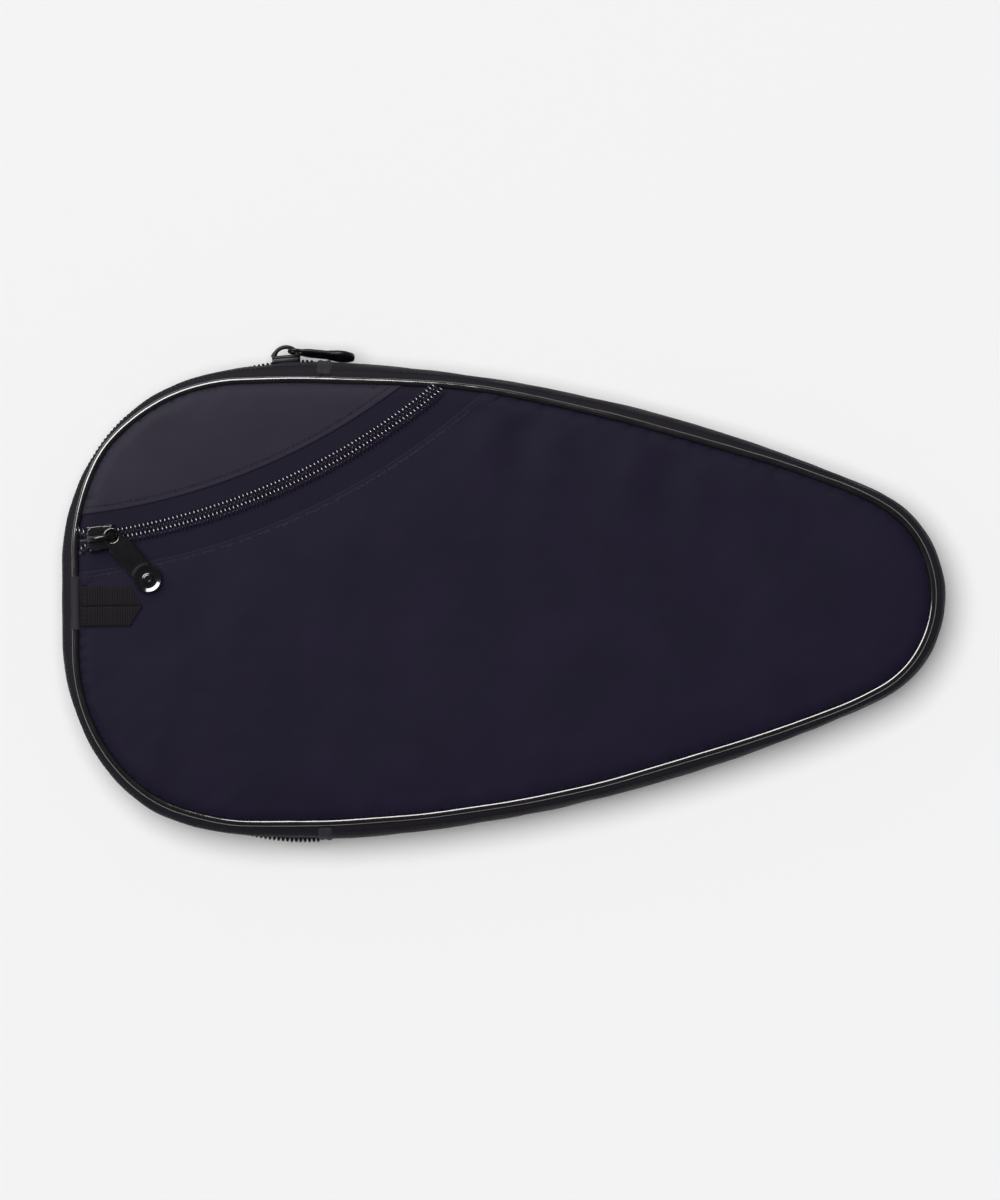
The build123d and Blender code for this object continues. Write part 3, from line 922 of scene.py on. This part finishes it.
def clipped_loop(outline, radius, outside, spacing):
    """The outline's part outside or inside the pocket circle, closed along the circle."""
    too_near = spacing * 0.35
    ring = trace(outline, spacing)[0]
    far = np.linalg.norm(ring - pocket_centre, axis=1) - radius
    ids = run_of(far > 0 if outside else far < 0)
    ends = []
    for k, step in ((ids[0], -1), (ids[-1], 1)):
        other = (k + step) % len(ring)
        t = far[k] / (far[k] - far[other])
        ends.append(ring[k] + (ring[other] - ring[k]) * t)
    first, last = [math.atan2(*(e - pocket_centre)[::-1]) for e in ends]
    count = max(3, int(abs(first - last) * radius / spacing))
    arc = pocket_centre + radius * circle(np.linspace(last, first, count))
    body = ring[ids]
    if np.linalg.norm(body[0] - ends[0]) < too_near:
        body = body[1:]
    if np.linalg.norm(body[-1] - ends[1]) < too_near:
        body = body[:-1]
    return np.concatenate([body, arc])


def simulate(made, loops, frames, pressure, cap):
    """Fills a padded cloth with Blender's cloth solver. Its sewn edges stay where they are."""
    sewn_width, least_share = 0.3, 0.25
    start = np.array([v.co for v in made.data.vertices])
    sewn = np.flatnonzero(loop_distance(start[:, :2] / MM, loops) < sewn_width)
    group = made.vertex_groups.new(name="sewn")
    group.add([int(k) for k in sewn], 1.0, "REPLACE")
    step = made.modifiers.new("cloth", "CLOTH")
    cloth = step.settings
    cloth.quality = 5
    cloth.mass = 0.25
    cloth.tension_stiffness = cloth.compression_stiffness = 12.0
    cloth.shear_stiffness = 6.0
    cloth.bending_stiffness = 2.0
    cloth.vertex_group_mass = "sewn"
    cloth.use_pressure = True
    cloth.uniform_pressure_force = pressure
    cloth.effector_weights.gravity = 0.0
    step.point_cache.frame_start = 1
    step.point_cache.frame_end = frames
    scene.frame_start, scene.frame_end = 1, frames
    for k in range(1, frames + 1):
        scene.frame_set(k)
    graph = bpy.context.evaluated_depsgraph_get()
    moved = np.array([v.co for v in made.evaluated_get(graph).data.vertices]) - start
    made.modifiers.clear()
    made.vertex_groups.clear()
    scene.frame_set(1)
    share = free_share(start[:, :2] / MM) * (1 - least_share) + least_share
    length = np.linalg.norm(moved, axis=1, keepdims=True)
    limit = cap * MM * share[:, None]
    moved *= np.where(length > 0, limit * np.tanh(length / limit) / np.maximum(length, 1e-12), 0)
    made.data.vertices.foreach_set("co", (start + moved).astype(np.float32).ravel())
    made.data.update()
    print("cloth", made.name, "moved at most", round(float(length.max() / MM), 2), "mm before the cap")


def panel_cloth(name, loop, look, slot_name, pressure, cap):
    """A panel of the front: pressure blows it up in the solver, and cap is the most that it moves."""
    flat, triangles = fill([loop], panel_spacing)
    made = make_object(name, raised(flat, crown(flat) + relief(flat)), triangles, flat, look, slot_name)
    simulate(made, [loop], cloth_frames, pressure, cap)
    subdivide(made, 1)
    return thicken(made, cloth_thickness)


cloth_frames = 18
cloth_thickness = 0.8
panel_spacing = 4.2
edge_spacing = 3.6
turned_edge = 1.2
cloth_edge = inset(piping_line, 0.9)
main_loop = clipped_loop(cloth_edge, pocket_r + slot_below + turned_edge, True, edge_spacing)
corner_loop = clipped_loop(cloth_edge, pocket_r - slot_above - turned_edge, False, edge_spacing)
front_cloth = panel_cloth(
    "front_main_cloth", main_loop, panel_look, "panel_cloth", pressure=0.35, cap=1.6
)
corner_cloth = panel_cloth(
    "front_corner_cloth", corner_loop, corner_look, "corner_cloth", pressure=1.0, cap=1.2
)

# ---- pocket zip ---------------------------------------------------------------------
pocket_edge = inset(piping_line, 1.2)
pocket_ring = dense_outline(pocket_edge)[0]


def arc_span(radius):
    """The angles at which a circle about the pocket's centre meets the edge of the panel."""
    far = np.linalg.norm(pocket_ring - pocket_centre, axis=1) - radius
    found = np.flatnonzero(np.sign(far) != np.sign(np.roll(far, -1)))
    angles = [math.atan2(*(pocket_ring[k] - pocket_centre)[::-1]) for k in found]
    return min(angles), max(angles)


def pocket_grid(rows, spacing=3.0):
    """Points along the pocket zip. A row is (distance from the chain's middle, height over the cloth)."""
    first, last = arc_span(pocket_r)
    count = int((last - first) * pocket_r / spacing)
    columns = []
    for r, lift in rows:
        flat = pocket_centre + (pocket_r + r) * circle(np.linspace(*arc_span(pocket_r + r), count))
        columns.append(raised(flat, crown(flat) + lift))
    return np.stack(columns, 1)


pocket_tape_thickness = 0.6
hem_thickness = 0.5
tape_drop = tape_top - panel_top
tape_edge_drop = tape_drop - 0.25
upper_tape_rows = [(r, tape_drop) for r in (-0.5, -5, -10, -15)] + [(-19, tape_edge_drop)]
lower_tape_rows = [(r, tape_drop) for r in (0.5, 5, 10, 15)] + [(21.5, tape_edge_drop)]
upper_tape = sheet_object(
    "pocket_tape_upper", pocket_grid(upper_tape_rows), tape_look, "zip_tape", pocket_tape_thickness
)
lower_tape = sheet_object(
    "pocket_tape_lower", pocket_grid(lower_tape_rows), tape_look, "zip_tape", pocket_tape_thickness, flip=True
)

# turned edges of the cloth on both sides of the pocket zip
hem_profile = (
    (0.4, -0.9), (-0.1, -0.5), (0.0, -0.05), (0.7, 0.05), (2.0, 0.07),
    (3.3, 0.0), (4.4, 0.06), (6.0, 0.02), (8.5, -0.3),
)
upper_hem_grid = pocket_grid([(-slot_above - a, b) for a, b in hem_profile], spacing=2.0)
lower_hem_grid = pocket_grid([(slot_below + a, b) for a, b in hem_profile], spacing=2.0)
upper_hem = sheet_object("pocket_hem_upper", upper_hem_grid, corner_look, "corner_cloth", hem_thickness)
lower_hem = sheet_object(
    "pocket_hem_lower", lower_hem_grid, panel_look, "panel_cloth", hem_thickness, flip=True
)

first_angle, last_angle = arc_span(pocket_r)
zip_count = int((last_angle - first_angle) * pocket_r / spine_step)
zip_out = raised(circle(np.linspace(first_angle, last_angle, zip_count)), 0.0)
zip_flat = pocket_centre + pocket_r * zip_out[:, :2]
zip_spine = raised(zip_flat, crown(zip_flat) + tape_drop)
zip_up = upright(zip_count)
# beyond the slider the two coils part
fan_width, fan_length, fan_inside_slider = 3.4, 9.0, 5.0
slider_left_x = box_mm("pocket_slider_body")[0][0]
fan = fan_width * smooth((slider_left_x + fan_inside_slider - zip_flat[:, 0]) / fan_length)
upper_coil_shape = coil_shape(zip_spine, -zip_out, zip_up, hand=1, phase=0.0, fan=fan)
lower_coil_shape = coil_shape(zip_spine, zip_out, zip_up, hand=-1, phase=0.5, fan=fan)
upper_coil = make_object("pocket_chain_upper", *upper_coil_shape, coil_look, "zip_coil")
lower_coil = make_object("pocket_chain_lower", *lower_coil_shape, coil_look, "zip_coil")

# ---- piping, bindings, linings and pads ---------------------------------------------
cord_step = 1.5
cord_p, cord_n = trace(piping_line, cord_step)


def piping_object(name, z, seed):
    """A ring of piping that strays and swells a little."""
    wobble = 0.14 * ripples(*cord_p.T, count=6, scale=60.0, seed=seed)
    path = raised(cord_p + cord_n * wobble[:, None], z + wobble[::-1])
    swell = 1 + 0.02 * ripples(*cord_p.T, count=6, scale=12.0, seed=seed + 1)
    section = round_section(piping_r, sides=14)[None] * swell[:, None, None]
    ring = tube_shape(path, upright(len(path)), section, closed=True)
    return make_object(name, *ring, piping_look, "piping")


front_piping = piping_object("front_piping_cord", front_piping_z, seed=21)
back_piping = piping_object("back_piping_cord", back_piping_z, seed=31)


binding_section = (
    (0.9, 0), (0.75, 1.6), (0.2, 2.1), (-0.5, 1.7), (-0.8, 0), (-0.5, -1.7), (0.2, -2.1), (0.75, -1.6),
)
binding_inset = 2.1


def binding_object(name, z):
    """A tape bound over the seam inside, all round."""
    path = raised(trace(inset(piping_line, binding_inset), track_step)[0], z)
    ring = tube_shape(path, upright(len(path)), binding_section, closed=True)
    return make_object(name, *ring, binding_look, "binding")


front_binding = binding_object("front_seam_binding", z=45.4)
back_binding = binding_object("back_seam_binding", z=7.4)


def flat_pad(name, loop, low, high, look, slot_name, swell=0.0, seed=1):
    """A closed pad or lining inside a loop, with rounded rims."""
    rim_width, rim_share, wave_fade = 6.0, 0.4, 20
    flat, triangles = fill([loop], pad_spacing)
    away = loop_distance(flat, [loop])
    share = np.sqrt(np.clip(1 - (1 - np.clip(away / rim_width, 0, 1)) ** 2, 0, 1))
    wave = swell * ripples(*flat.T, count=8, scale=60.0, seed=seed) * smooth(away / wave_fade)
    middle = (low + high) / 2
    top, bottom = [
        middle + (level - middle) * (rim_share + (1 - rim_share) * share) + wave for level in (high, low)
    ]
    count = len(flat)
    ring = [k for k in range(count) if away[k] < touching]
    order = sorted(ring, key=lambda k: int(np.linalg.norm(loop - flat[k], axis=1).argmin()))
    faces = [tuple(t) for t in triangles] + [tuple(count + k for k in reversed(t)) for t in triangles]
    faces += [(a, count + a, count + b, b) for a, b in zip(order, order[1:] + order[:1])]
    verts = np.concatenate([raised(flat, top), raised(flat, bottom)])
    return make_object(name, verts, faces, np.concatenate([flat, flat]), look, slot_name)


pad_spacing = 6.0
pad_inset = 3.0
lining_swell = 0.25
inside_loop = trace(inset(piping_line, pad_inset), spacing=5.0)[0]
# lowest and highest level of each, over the floor
front_pad = flat_pad("front_pad", inside_loop, 45.5, 51.6, foam_look, "foam")
back_pad = flat_pad("back_pad", inside_loop, 1.3, 4.0, foam_look, "foam")
front_lining = flat_pad("front_lining_cloth", inside_loop, 44.7, 45.2, lining_look, "lining", lining_swell, 41)
back_lining = flat_pad("back_lining_cloth", inside_loop, 4.1, 4.6, lining_look, "lining", lining_swell, 42)

back_seam_z = 4.0
back_crown = 3.95
back_lowest = 0.02
back_flat, back_faces = fill([trace(cloth_edge, edge_spacing)[0]], pad_spacing)
back_away = edge_distance(back_flat, piping_line)
back_z = back_seam_z - back_crown * crown_share(back_away)
back_waves = ripples(*back_flat.T, count=8, scale=70.0, seed=51)
back_z += 0.35 * smooth(back_away / 30) * (1 + back_waves) / 2
back_verts = raised(back_flat, np.maximum(back_z, back_lowest))
back_cloth = make_object(
    "back_panel_cloth", back_verts, [t[::-1] for t in back_faces], back_flat, panel_look, "panel_cloth"
)
thicken(back_cloth, cloth_thickness)

# ---- seam tabs, piping cover and hang loop ------------------------------------------
half = track_count // 2
tab_margin = 5
tab_thickness = 1.0
tab_round = 22
tab_heights = (0.1, 0.9, 1.25, 0.6, 0.5, 0.85, 1.25, 0.9, 0.1)


def seam_tab(name, side, node_name):
    """A folded tab of gusset cloth, wrapped over the end of the main zip."""
    low, high = box_mm(node_name)
    across = np.linspace(low[0], high[0], len(tab_heights))
    ids = np.arange(tab_margin, half - tab_margin)
    if side < 0:
        ids = track_count - ids
    grid = []
    for x, lift in zip(across, tab_heights):
        line = []
        for share, _, more, z in gusset_rows[1:-1]:
            rise = np.clip((z - mid_z) / tab_round, -1, 1)
            d = share * to_widest[ids] + more + lift * math.sqrt(1 - rise * rise)
            flat = track_p[ids] + track_n[ids] * d[:, None]
            line.append([x, np.interp(x, flat[:, 0], flat[:, 1]), z + lift * rise])
        grid.append(line)
    grid = np.array(grid)
    faces = grid_faces(*grid.shape[:2])
    if side < 0:
        faces = [f[::-1] for f in faces]
    made = make_object(name, grid.reshape(-1, 3), faces, grid_uvs(grid), wrap_look, "gusset_cloth")
    subdivide(made, 1)
    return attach(thicken(made, tab_thickness), "case_body")


top_tab = seam_tab("top_seam_tab_cloth", 1, "top_seam_tab")
bottom_tab = seam_tab("bottom_seam_tab_cloth", -1, "bottom_seam_tab")
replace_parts(top_tab, "top_seam_tab")
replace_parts(bottom_tab, "bottom_seam_tab")

cover_low, cover_high = box_mm("piping_joint_cover")
cover_y = np.linspace(cover_low[1], cover_high[1], 31)
cover_path = np.stack([0 * cover_y + piping_line.end_x, cover_y, 0 * cover_y + front_piping_z], 1)
cover_r = piping_r + 0.42
cover_first_deg, cover_last_deg = -75, 200
cover_end_swell = 0.05
cover_section = circle(np.radians(np.linspace(cover_first_deg, cover_last_deg, 17))) * cover_r
cover_swell = 1 + 0.05 * ripples(cover_y, cover_y * 0, count=5, scale=9.0, seed=61)
cover_swell[[0, -1]] += cover_end_swell
cover_grid = sweep(cover_path, upright(len(cover_y)), cover_section[None] * cover_swell[:, None, None])
cover = sheet_object("piping_joint_wrap", cover_grid, wrap_look, "piping", thickness=0.5)
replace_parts(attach(cover, "front_flap"), "piping_joint_cover")

loop_low, loop_high = box_mm("hang_loop")
loop_middle_y = (loop_low[1] + loop_high[1]) / 2
loop_mitre = loop_high[0] - 7.0
rib_pitch = 1.4
rib_steps = 5
rib_height = 0.32
edge_gap = 0.15
webbing_thickness = 1.25
bow_height = 0.35
top_leg_lift = 0.15


def webbing_leg(side):
    """One leg of the folded webbing, ribbed across, with its slanted end."""
    length = loop_high[0] - loop_low[0]
    x = loop_low[0] + np.arange(int(length / rib_pitch * rib_steps) + 1) * rib_pitch / rib_steps
    outer = loop_high[1] if side > 0 else loop_low[1]
    width = abs(outer - loop_middle_y)
    shares = np.array([0.0, 0.03, 0.1, 0.25, 0.5, 0.75, 0.9, 0.97, 1.0])
    rims = np.array([-0.55, -0.15, 0.0, 0.02, 0.05, 0.02, 0.0, -0.15, -0.55])
    ribs = rib_height * np.cos((x - x[0]) / rib_pitch * math.tau)
    slant = np.clip((x - loop_mitre) / (loop_high[0] - loop_mitre), 0, 1)
    top = loop_high[2] - top_leg_lift
    bow = bow_height * np.sin(np.clip((x - x[0]) / length, 0, 1) * math.pi)
    bow = bow + (top_leg_lift if side > 0 else 0.0)
    grid = []
    for share, rim in zip(shares, rims):
        reach_y = (edge_gap + (width - edge_gap) * share) * (1 - slant * 0.97)
        y = loop_middle_y + side * reach_y
        grid.append(np.stack([x, y, top + bow + ribs * (abs(rim) < 0.3) + rim], 1))
    upper = np.stack(grid, 1)
    lower = upper.copy()
    lower[:, :, 2] -= webbing_thickness - 1.6 * np.abs(rims)
    both = np.concatenate([upper, lower[:, ::-1]], 1)
    faces = tube_faces(*both.shape[:2])
    if side < 0:
        faces = [f[::-1] for f in faces]
    return Shape(both.reshape(-1, 3), faces, both[:, :, :2].reshape(-1, 2))


hang_loop = shape_object(
    "hang_loop_webbing", merge([webbing_leg(1), webbing_leg(-1)]), webbing_look, "webbing", "hang_loop_strap"
)
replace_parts(hang_loop, "hang_loop")

# ---- sliders and pulls --------------------------------------------------------------
plate_lift = 6.2
eye_height = 1.5
eye_mid_r = 4.2
bridge_arc_r = 7.3
bridge_sink = 2.6
bridge_r = 1.15
bridge_width_share = 1.25
slider_half = 8.3
upper_plate_half = 1.1
lower_plate_z = -8.4
flange_z = -3.65
slider_half_outline = ((-8.9, -6.0), (2.0, -7.3), (6.5, -7.4), (9.1, -4.2))
flange_section = (
    (0.8, -2.0), (0.8, 1.7), (0.5, 2.1), (-0.5, 2.1), (-0.8, 1.7), (-0.8, -2.0), (-0.3, -2.15), (0.3, -2.15),
)


def slider_shape(wide_end):
    """A slider in its own frame: x along the chain, z up from the plate's top. wide_end is 1 or -1."""
    corners = np.array([*slider_half_outline, *((x, -y) for x, y in slider_half_outline[::-1])])
    corners = corners * [wide_end, 1] * [slider_half / slider_half_outline[-1][0], 1]
    plate = rounded_loop(corners if wide_end > 0 else corners[::-1], 2.6)

    def plate_half(flat):
        dish = np.exp(-((flat[:, 0] / 5.0) ** 2) - (flat[:, 1] / 2.2) ** 2)
        return upper_plate_half - 0.25 * dish

    top = plate_shape([plate], spacing=0.6, half=plate_half, rim=0.25)
    bottom = plate_shape([plate * 0.93], spacing=1.0, half=0.9, rim=0.7)
    parts = [
        Shape(top.verts + [0, 0, -upper_plate_half], top.faces, top.uvs),
        Shape(bottom.verts + [0, 0, lower_plate_z], bottom.faces, bottom.uvs),
    ]
    run = np.linspace(-0.94, 0.94, 12)
    width = 6.0 + 0.75 * smooth((run * wide_end + 0.9) / 1.2) - 0.25 * smooth((run * wide_end - 0.6) / 0.3)
    for side in (-1, 1):
        path = np.stack([run * slider_half, side * (width - 0.15), np.full(len(run), flange_z)], 1)
        parts.append(tube_shape(path, upright(len(run)), flange_section))
    lean = np.radians(np.linspace(-74, 74, 33))
    arch = np.stack([np.sin(lean) * bridge_arc_r, 0 * lean, np.cos(lean) * bridge_arc_r - bridge_sink], 1)
    grow = 1 + 0.45 * smooth((np.abs(lean) - 0.75) / 0.5)
    section = round_section(bridge_r, 12)[None] * np.stack([bridge_width_share * grow, grow], 1)[:, None, :]
    parts.append(tube_shape(arch, np.tile([0.0, 1.0, 0.0], (len(lean), 1)), section[:, :, ::-1]))
    return merge(parts)


def pull_shape(length):
    """A pull in its own frame: its eye about the origin, its body along x."""
    end_r, half_width, neck, eye_r, hole_r = 7.9, 6.4, 4.6, 5.0, 3.4
    end_x = length - eye_mid_r - end_r
    low, high = -eye_r, end_x + end_r

    def half_span(x):
        eye = np.sqrt(np.clip(eye_r**2 - x**2, 0, None))
        body = neck + (half_width - neck) * smooth((x - 2.0) / 4.5)
        body = np.where((x > 1.5) & (x < end_x), body, 0)
        disc = np.sqrt(np.clip(end_r**2 - (x - end_x) ** 2, 0, None))
        return np.maximum(np.maximum(eye, body), disc)

    share = (1 - np.cos(np.linspace(0, math.pi, 96))) / 2
    x = low + (high - low) * share
    span = half_span(x)
    upper = np.stack([x, span], 1)[1:-1]
    outer = np.concatenate([[[low, 0]], upper, [[high, 0]], upper[::-1] * [1, -1]])[::-1]
    hole = circle(np.linspace(0, math.tau, 36, endpoint=False)) * hole_r

    def thick(flat):
        """Half the thickness: thickest in the round end, which has a dish round a dimpled middle."""
        x = flat[:, 0]
        r = np.linalg.norm(flat - [end_x, 0], axis=1)
        base = 0.85 + 0.15 * smooth((x - 4.5) / 4) + 0.5 * smooth((10.4 - r) / 3.0)
        dish = np.clip((7.4 - r) * 0.5, 0, 1.2) * smooth((r - 2.3) / 1.0)
        dimple = 0.3 * smooth((1.7 - r) / 1.0)
        return base - dish - dimple

    return plate_shape([outer, hole], spacing=0.42, half=thick, rim=0.5)


def pull_axes(x_axis, z_axis, yaw_deg, tilt_deg, roll_deg):
    """The pull's x and z axes: turned sideways by yaw, lowered by tilt and rolled about its own length."""
    yaw, tilt, roll = math.radians(yaw_deg), math.radians(tilt_deg), math.radians(roll_deg)
    y_axis = np.cross(z_axis, x_axis)
    level = x_axis * math.cos(yaw) + y_axis * math.sin(yaw)
    ahead = level * math.cos(tilt) - z_axis * math.sin(tilt)
    face = level * math.sin(tilt) + z_axis * math.cos(tilt)
    return ahead, face * math.cos(roll) + np.cross(ahead, face) * math.sin(roll)


leg_x = math.sqrt(bridge_arc_r**2 - (bridge_sink + eye_height) ** 2)
main_deg = 93.8
main_z = to_unit(np.array([*circle(math.radians(main_deg)), 0]))
main_x = np.array([main_z[1], -main_z[0], 0])
main_origin = main_z * (coil_radius + plate_lift) + [0, 0, mid_z]
pocket_deg = -82.4
pocket_spoke = to_unit(np.array([*circle(math.radians(pocket_deg)), 0]))
pocket_x = np.array([-pocket_spoke[1], pocket_spoke[0], 0])
pocket_up = np.array([0.0, 0.0, 1.0])
pocket_origin = np.array([*pocket_centre, tape_top + plate_lift]) + pocket_spoke * pocket_r
# name, looks of the slider and of its pull, place, axes, which way its wide end points, then the pull's
# yaw, tilt, roll and length
sliders = (
    ("main", side_metal_look, side_metal_look, main_origin, main_x, main_z, 1, 0.0, 10.0, -14.0, 37.5),
    ("pocket", slider_look, metal_look, pocket_origin, pocket_x, pocket_up, -1, -58.0, 4.0, 0.0, 43.7),
)
for name, body_look, pull_look, origin, x_axis, z_axis, wide_end, yaw, tilt, roll, length in sliders:
    body = place(slider_shape(wide_end), origin, x_axis, z_axis)
    made = shape_object(name + "_slider_casting", body, body_look, "zip_metal", name + "_slider")
    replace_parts(made, name + "_slider_body")
    eye = origin + x_axis * leg_x + z_axis * eye_height
    pull = place(pull_shape(length), eye, *pull_axes(x_axis, z_axis, yaw, tilt, roll))
    made = shape_object(name + "_pull_casting", pull, pull_look, "zip_metal", name + "_pull")
    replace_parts(made, name + "_pull_tab")

# ---- topstitching -------------------------------------------------------------------
stitch_pitch = 2.7
hem_stitch_pitch = 2.5


def stitched_band(surface, ids, row_low, row_high, share):
    """A run of stitches round the case, part of the way between two rows."""
    rows = band_grid(ids, [row_low, row_high])
    path = resample(rows[:, 0] * (1 - share) + rows[:, 1] * share, stitch_pitch)
    nearest = np.array([np.argmin(((track_p - p[:2]) ** 2).sum(1)) for p in path])
    return land(surface, path, to_unit(raised(-track_n[nearest], (mid_z - path[:, 2]) / 30)))


strip_share, gusset_share = 0.5, 0.6
strip_lines = shoulder_rows[3:5]
gusset_lines = shoulder_rows[2:4]
front_strip_run = stitched_band(surface_of(front_strip), strip_ids, *strip_lines, strip_share)
back_strip_run = stitched_band(surface_of(back_strip), strip_ids, *back_rows(strip_lines), strip_share)
gusset_surface = surface_of(gusset)
gusset_runs = [
    stitched_band(gusset_surface, gusset_ids, *rows, gusset_share)
    for rows in (gusset_lines, back_rows(gusset_lines))
]
strip_stitches = stitch_object("front_strip_stitches", [front_strip_run])
back_strip_stitches = stitch_object("back_strip_stitches", [back_strip_run])
gusset_stitches = stitch_object("gusset_stitches", gusset_runs)


def hem_run(surface, r):
    """A run of stitches along the pocket zip, at a distance from its middle."""
    path = resample(pocket_grid([(r, 0.0)])[:, 0], hem_stitch_pitch)
    return land(surface, path, -upright(len(path)))


from_hem = 3.6
hem_stitches = stitch_object(
    "pocket_hem_stitches",
    [
        hem_run(surface_of(lower_hem), slot_below + from_hem),
        hem_run(surface_of(upper_hem), -slot_above - from_hem),
    ],
)
loop_surface = surface_of(hang_loop)
sewn_x = loop_low[0] + 3.2
loop_stitch_pitch = 2.3
across_y = np.arange(loop_low[1] + 1.2, loop_high[1] - 0.6, loop_stitch_pitch)
across = np.stack([0 * across_y + sewn_x, across_y, 0 * across_y + loop_high[2]], 1)
loop_stitches = stitch_object("hang_loop_stitches", [land(loop_surface, across, -upright(len(across)))])
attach(loop_stitches, "hang_loop_strap")
from_cover_end = 1.2
cover_ends = []
for y in (cover_low[1] + from_cover_end, cover_high[1] - from_cover_end):
    turn = np.radians(np.linspace(-35, 165, 6))
    out = np.stack([-np.cos(turn), 0 * turn, np.sin(turn)], 1)
    cover_ends.append((np.array([piping_line.end_x, y, front_piping_z]) + out * (cover_r + 0.1), out))
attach(stitch_object("piping_joint_stitches", cover_ends, length=1.0, radius=0.22), "front_flap")

# ---- what each piece stands for, and the case body that the still pieces ride on ----
still = (
    (back_strip, ["back_zip_strip"]),
    (gusset, ["gusset_fabric"]),
    (gusset_inside, ["gusset_lining"]),
    (gusset_pad, ["gusset_foam"]),
    (back_tape, ["back_zip_tape"]),
    (back_coil, ["back_zip_coil"]),
    (back_piping, ["back_piping"]),
    (back_binding, ["back_binding"]),
    (back_pad, ["back_panel_foam"]),
    (back_lining, ["back_panel_lining"]),
    (back_cloth, ["back_panel_fabric"]),
    (back_strip_stitches, []),
    (gusset_stitches, []),
)
for made, nodes in still:
    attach(made, "case_body")
    if nodes:
        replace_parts(made, *nodes)
folding = (
    (front_cloth, ["flap_front_fabric", "front_panel_fabric"]),
    (corner_cloth, ["flap_pocket_top_panel", "pocket_top_panel_end"]),
    (upper_hem, []),
    (lower_hem, []),
    (hem_stitches, []),
    (upper_tape, ["flap_pocket_tape_upper", "pocket_tape_upper_end"]),
    (lower_tape, ["flap_pocket_tape_lower", "pocket_tape_lower_end"]),
    (upper_coil, ["flap_pocket_coil_upper", "pocket_coil_upper_end"]),
    (lower_coil, ["flap_pocket_coil_lower", "pocket_coil_lower_end"]),
    (front_strip, ["flap_zip_strip", "front_zip_strip_ends"]),
    (strip_stitches, []),
    (front_tape, ["flap_zip_tape", "front_zip_tape_ends"]),
    (front_coil, ["flap_zip_coil", "front_zip_coil_ends"]),
    (front_piping, ["flap_piping", "front_piping"]),
    (front_binding, ["flap_binding", "front_binding"]),
    (front_pad, ["flap_foam", "front_panel_foam", "flap_pocket_backing", "pocket_backing"]),
    (front_lining, ["flap_lining", "front_panel_lining"]),
)
for made, nodes in folding:
    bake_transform(made)
    if nodes:
        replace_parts(made, *nodes)


# sheets of cloth, sewn in flat or bent one way, so that each still has the size that it was cut to
def uv_size(made):
    """Width and length of a piece's cut, which its uv keeps, in metres."""
    uv = np.zeros(2 * len(made.data.loops))
    made.data.uv_layers["UVMap"].data.foreach_get("uv", uv)
    length, width = np.ptp(uv.reshape(-1, 2), axis=0)
    return width, length


lining_x, lining_y = inside_loop.T * MM
lining_area = abs(lining_x @ np.roll(lining_y, 1) - lining_y @ np.roll(lining_x, 1)) / 2
pocket_tape_length = (last_angle - first_angle) * pocket_r * MM
upper_tape_width = (upper_tape_rows[0][0] - upper_tape_rows[-1][0]) * MM
lower_tape_width = (lower_tape_rows[-1][0] - lower_tape_rows[0][0]) * MM
sheets = (
    (front_lining, uv_size(front_lining), lining_area, ["front_pad"]),
    (back_lining, uv_size(back_lining), lining_area, ["back_pad"]),
    (gusset_inside, uv_size(gusset_inside), None, ["gusset_pad"]),
    (front_strip, uv_size(front_strip), None, ["front_zip_tape", "front_piping_cord"]),
    (back_strip, uv_size(back_strip), None, ["back_zip_tape_cloth", "back_piping_cord"]),
    (front_tape, uv_size(front_tape), None, ["front_zip_strip"]),
    (back_tape, uv_size(back_tape), None, ["back_zip_strip_cloth"]),
    (upper_tape, (upper_tape_width, pocket_tape_length), None, ["front_pad"]),
    (lower_tape, (lower_tape_width, pocket_tape_length), None, ["front_pad"]),
)

# ---- floor, light -------------------------------------------------------------------
floor_look, floor_tree, floor_shader = new_material("floor", (0.87, 0.87, 0.87), 0.85)
floor_noise = noise(floor_tree, node(floor_tree, "TexCoord").outputs["Object"], 3.0, 3.0)
spread(floor_tree, floor_noise, 0.8, 0.9, floor_shader.inputs["Roughness"])
floor_shader.inputs["Specular IOR Level"].default_value = 0.1
floor_half = 6
floor_z = -0.0005
floor_corners = [(floor_half * x, floor_half * y, floor_z) for x, y in ((-1, -1), (1, -1), (1, 1), (-1, 1))]
floor_mesh = bpy.data.meshes.new("floor")
floor_mesh.from_pydata(floor_corners, [], [(0, 1, 2, 3)])
floor_mesh.materials.append(floor_look)
floor = bpy.data.objects.new("floor", floor_mesh)
scene.collection.objects.link(floor)


def add_light(name, kind, aim, direction, distance, power):
    """A light that looks at its aim from the given direction and distance."""
    lamp = bpy.data.lights.new(name, kind)
    lamp.energy = power
    made = bpy.data.objects.new(name, lamp)
    scene.collection.objects.link(made)
    out = Vector(direction).normalized()
    made.location = Vector(aim) + out * distance
    made.rotation_euler = out.to_track_quat("Z", "Y").to_euler()
    return made


# one even overhead glow for the colours and one softbox for the shine
glow_angle_deg = 36
glow = add_light("glow", "SUN", view_centre, direction=(-0.12, 0.12, 1.0), distance=1.5, power=3.06)
glow.data.angle = math.radians(glow_angle_deg)
glow.visible_glossy = False
key_aim = (-0.03, 0.05, 0.05)
key = add_light("key", "AREA", key_aim, direction=(-0.45, 0.62, 0.76), distance=1.15, power=44.0)
key.data.shape = "RECTANGLE"
key.data.size = 1.45
key.data.size_y = 0.64
key.visible_diffuse = False
world = bpy.data.worlds.new("world")
scene.world = world
world.use_nodes = True
world.node_tree.nodes["Background"].inputs["Color"].default_value = (1, 1, 1, 1)
world.node_tree.nodes["Background"].inputs["Strength"].default_value = 0.07
scene.view_settings.view_transform = "Standard"
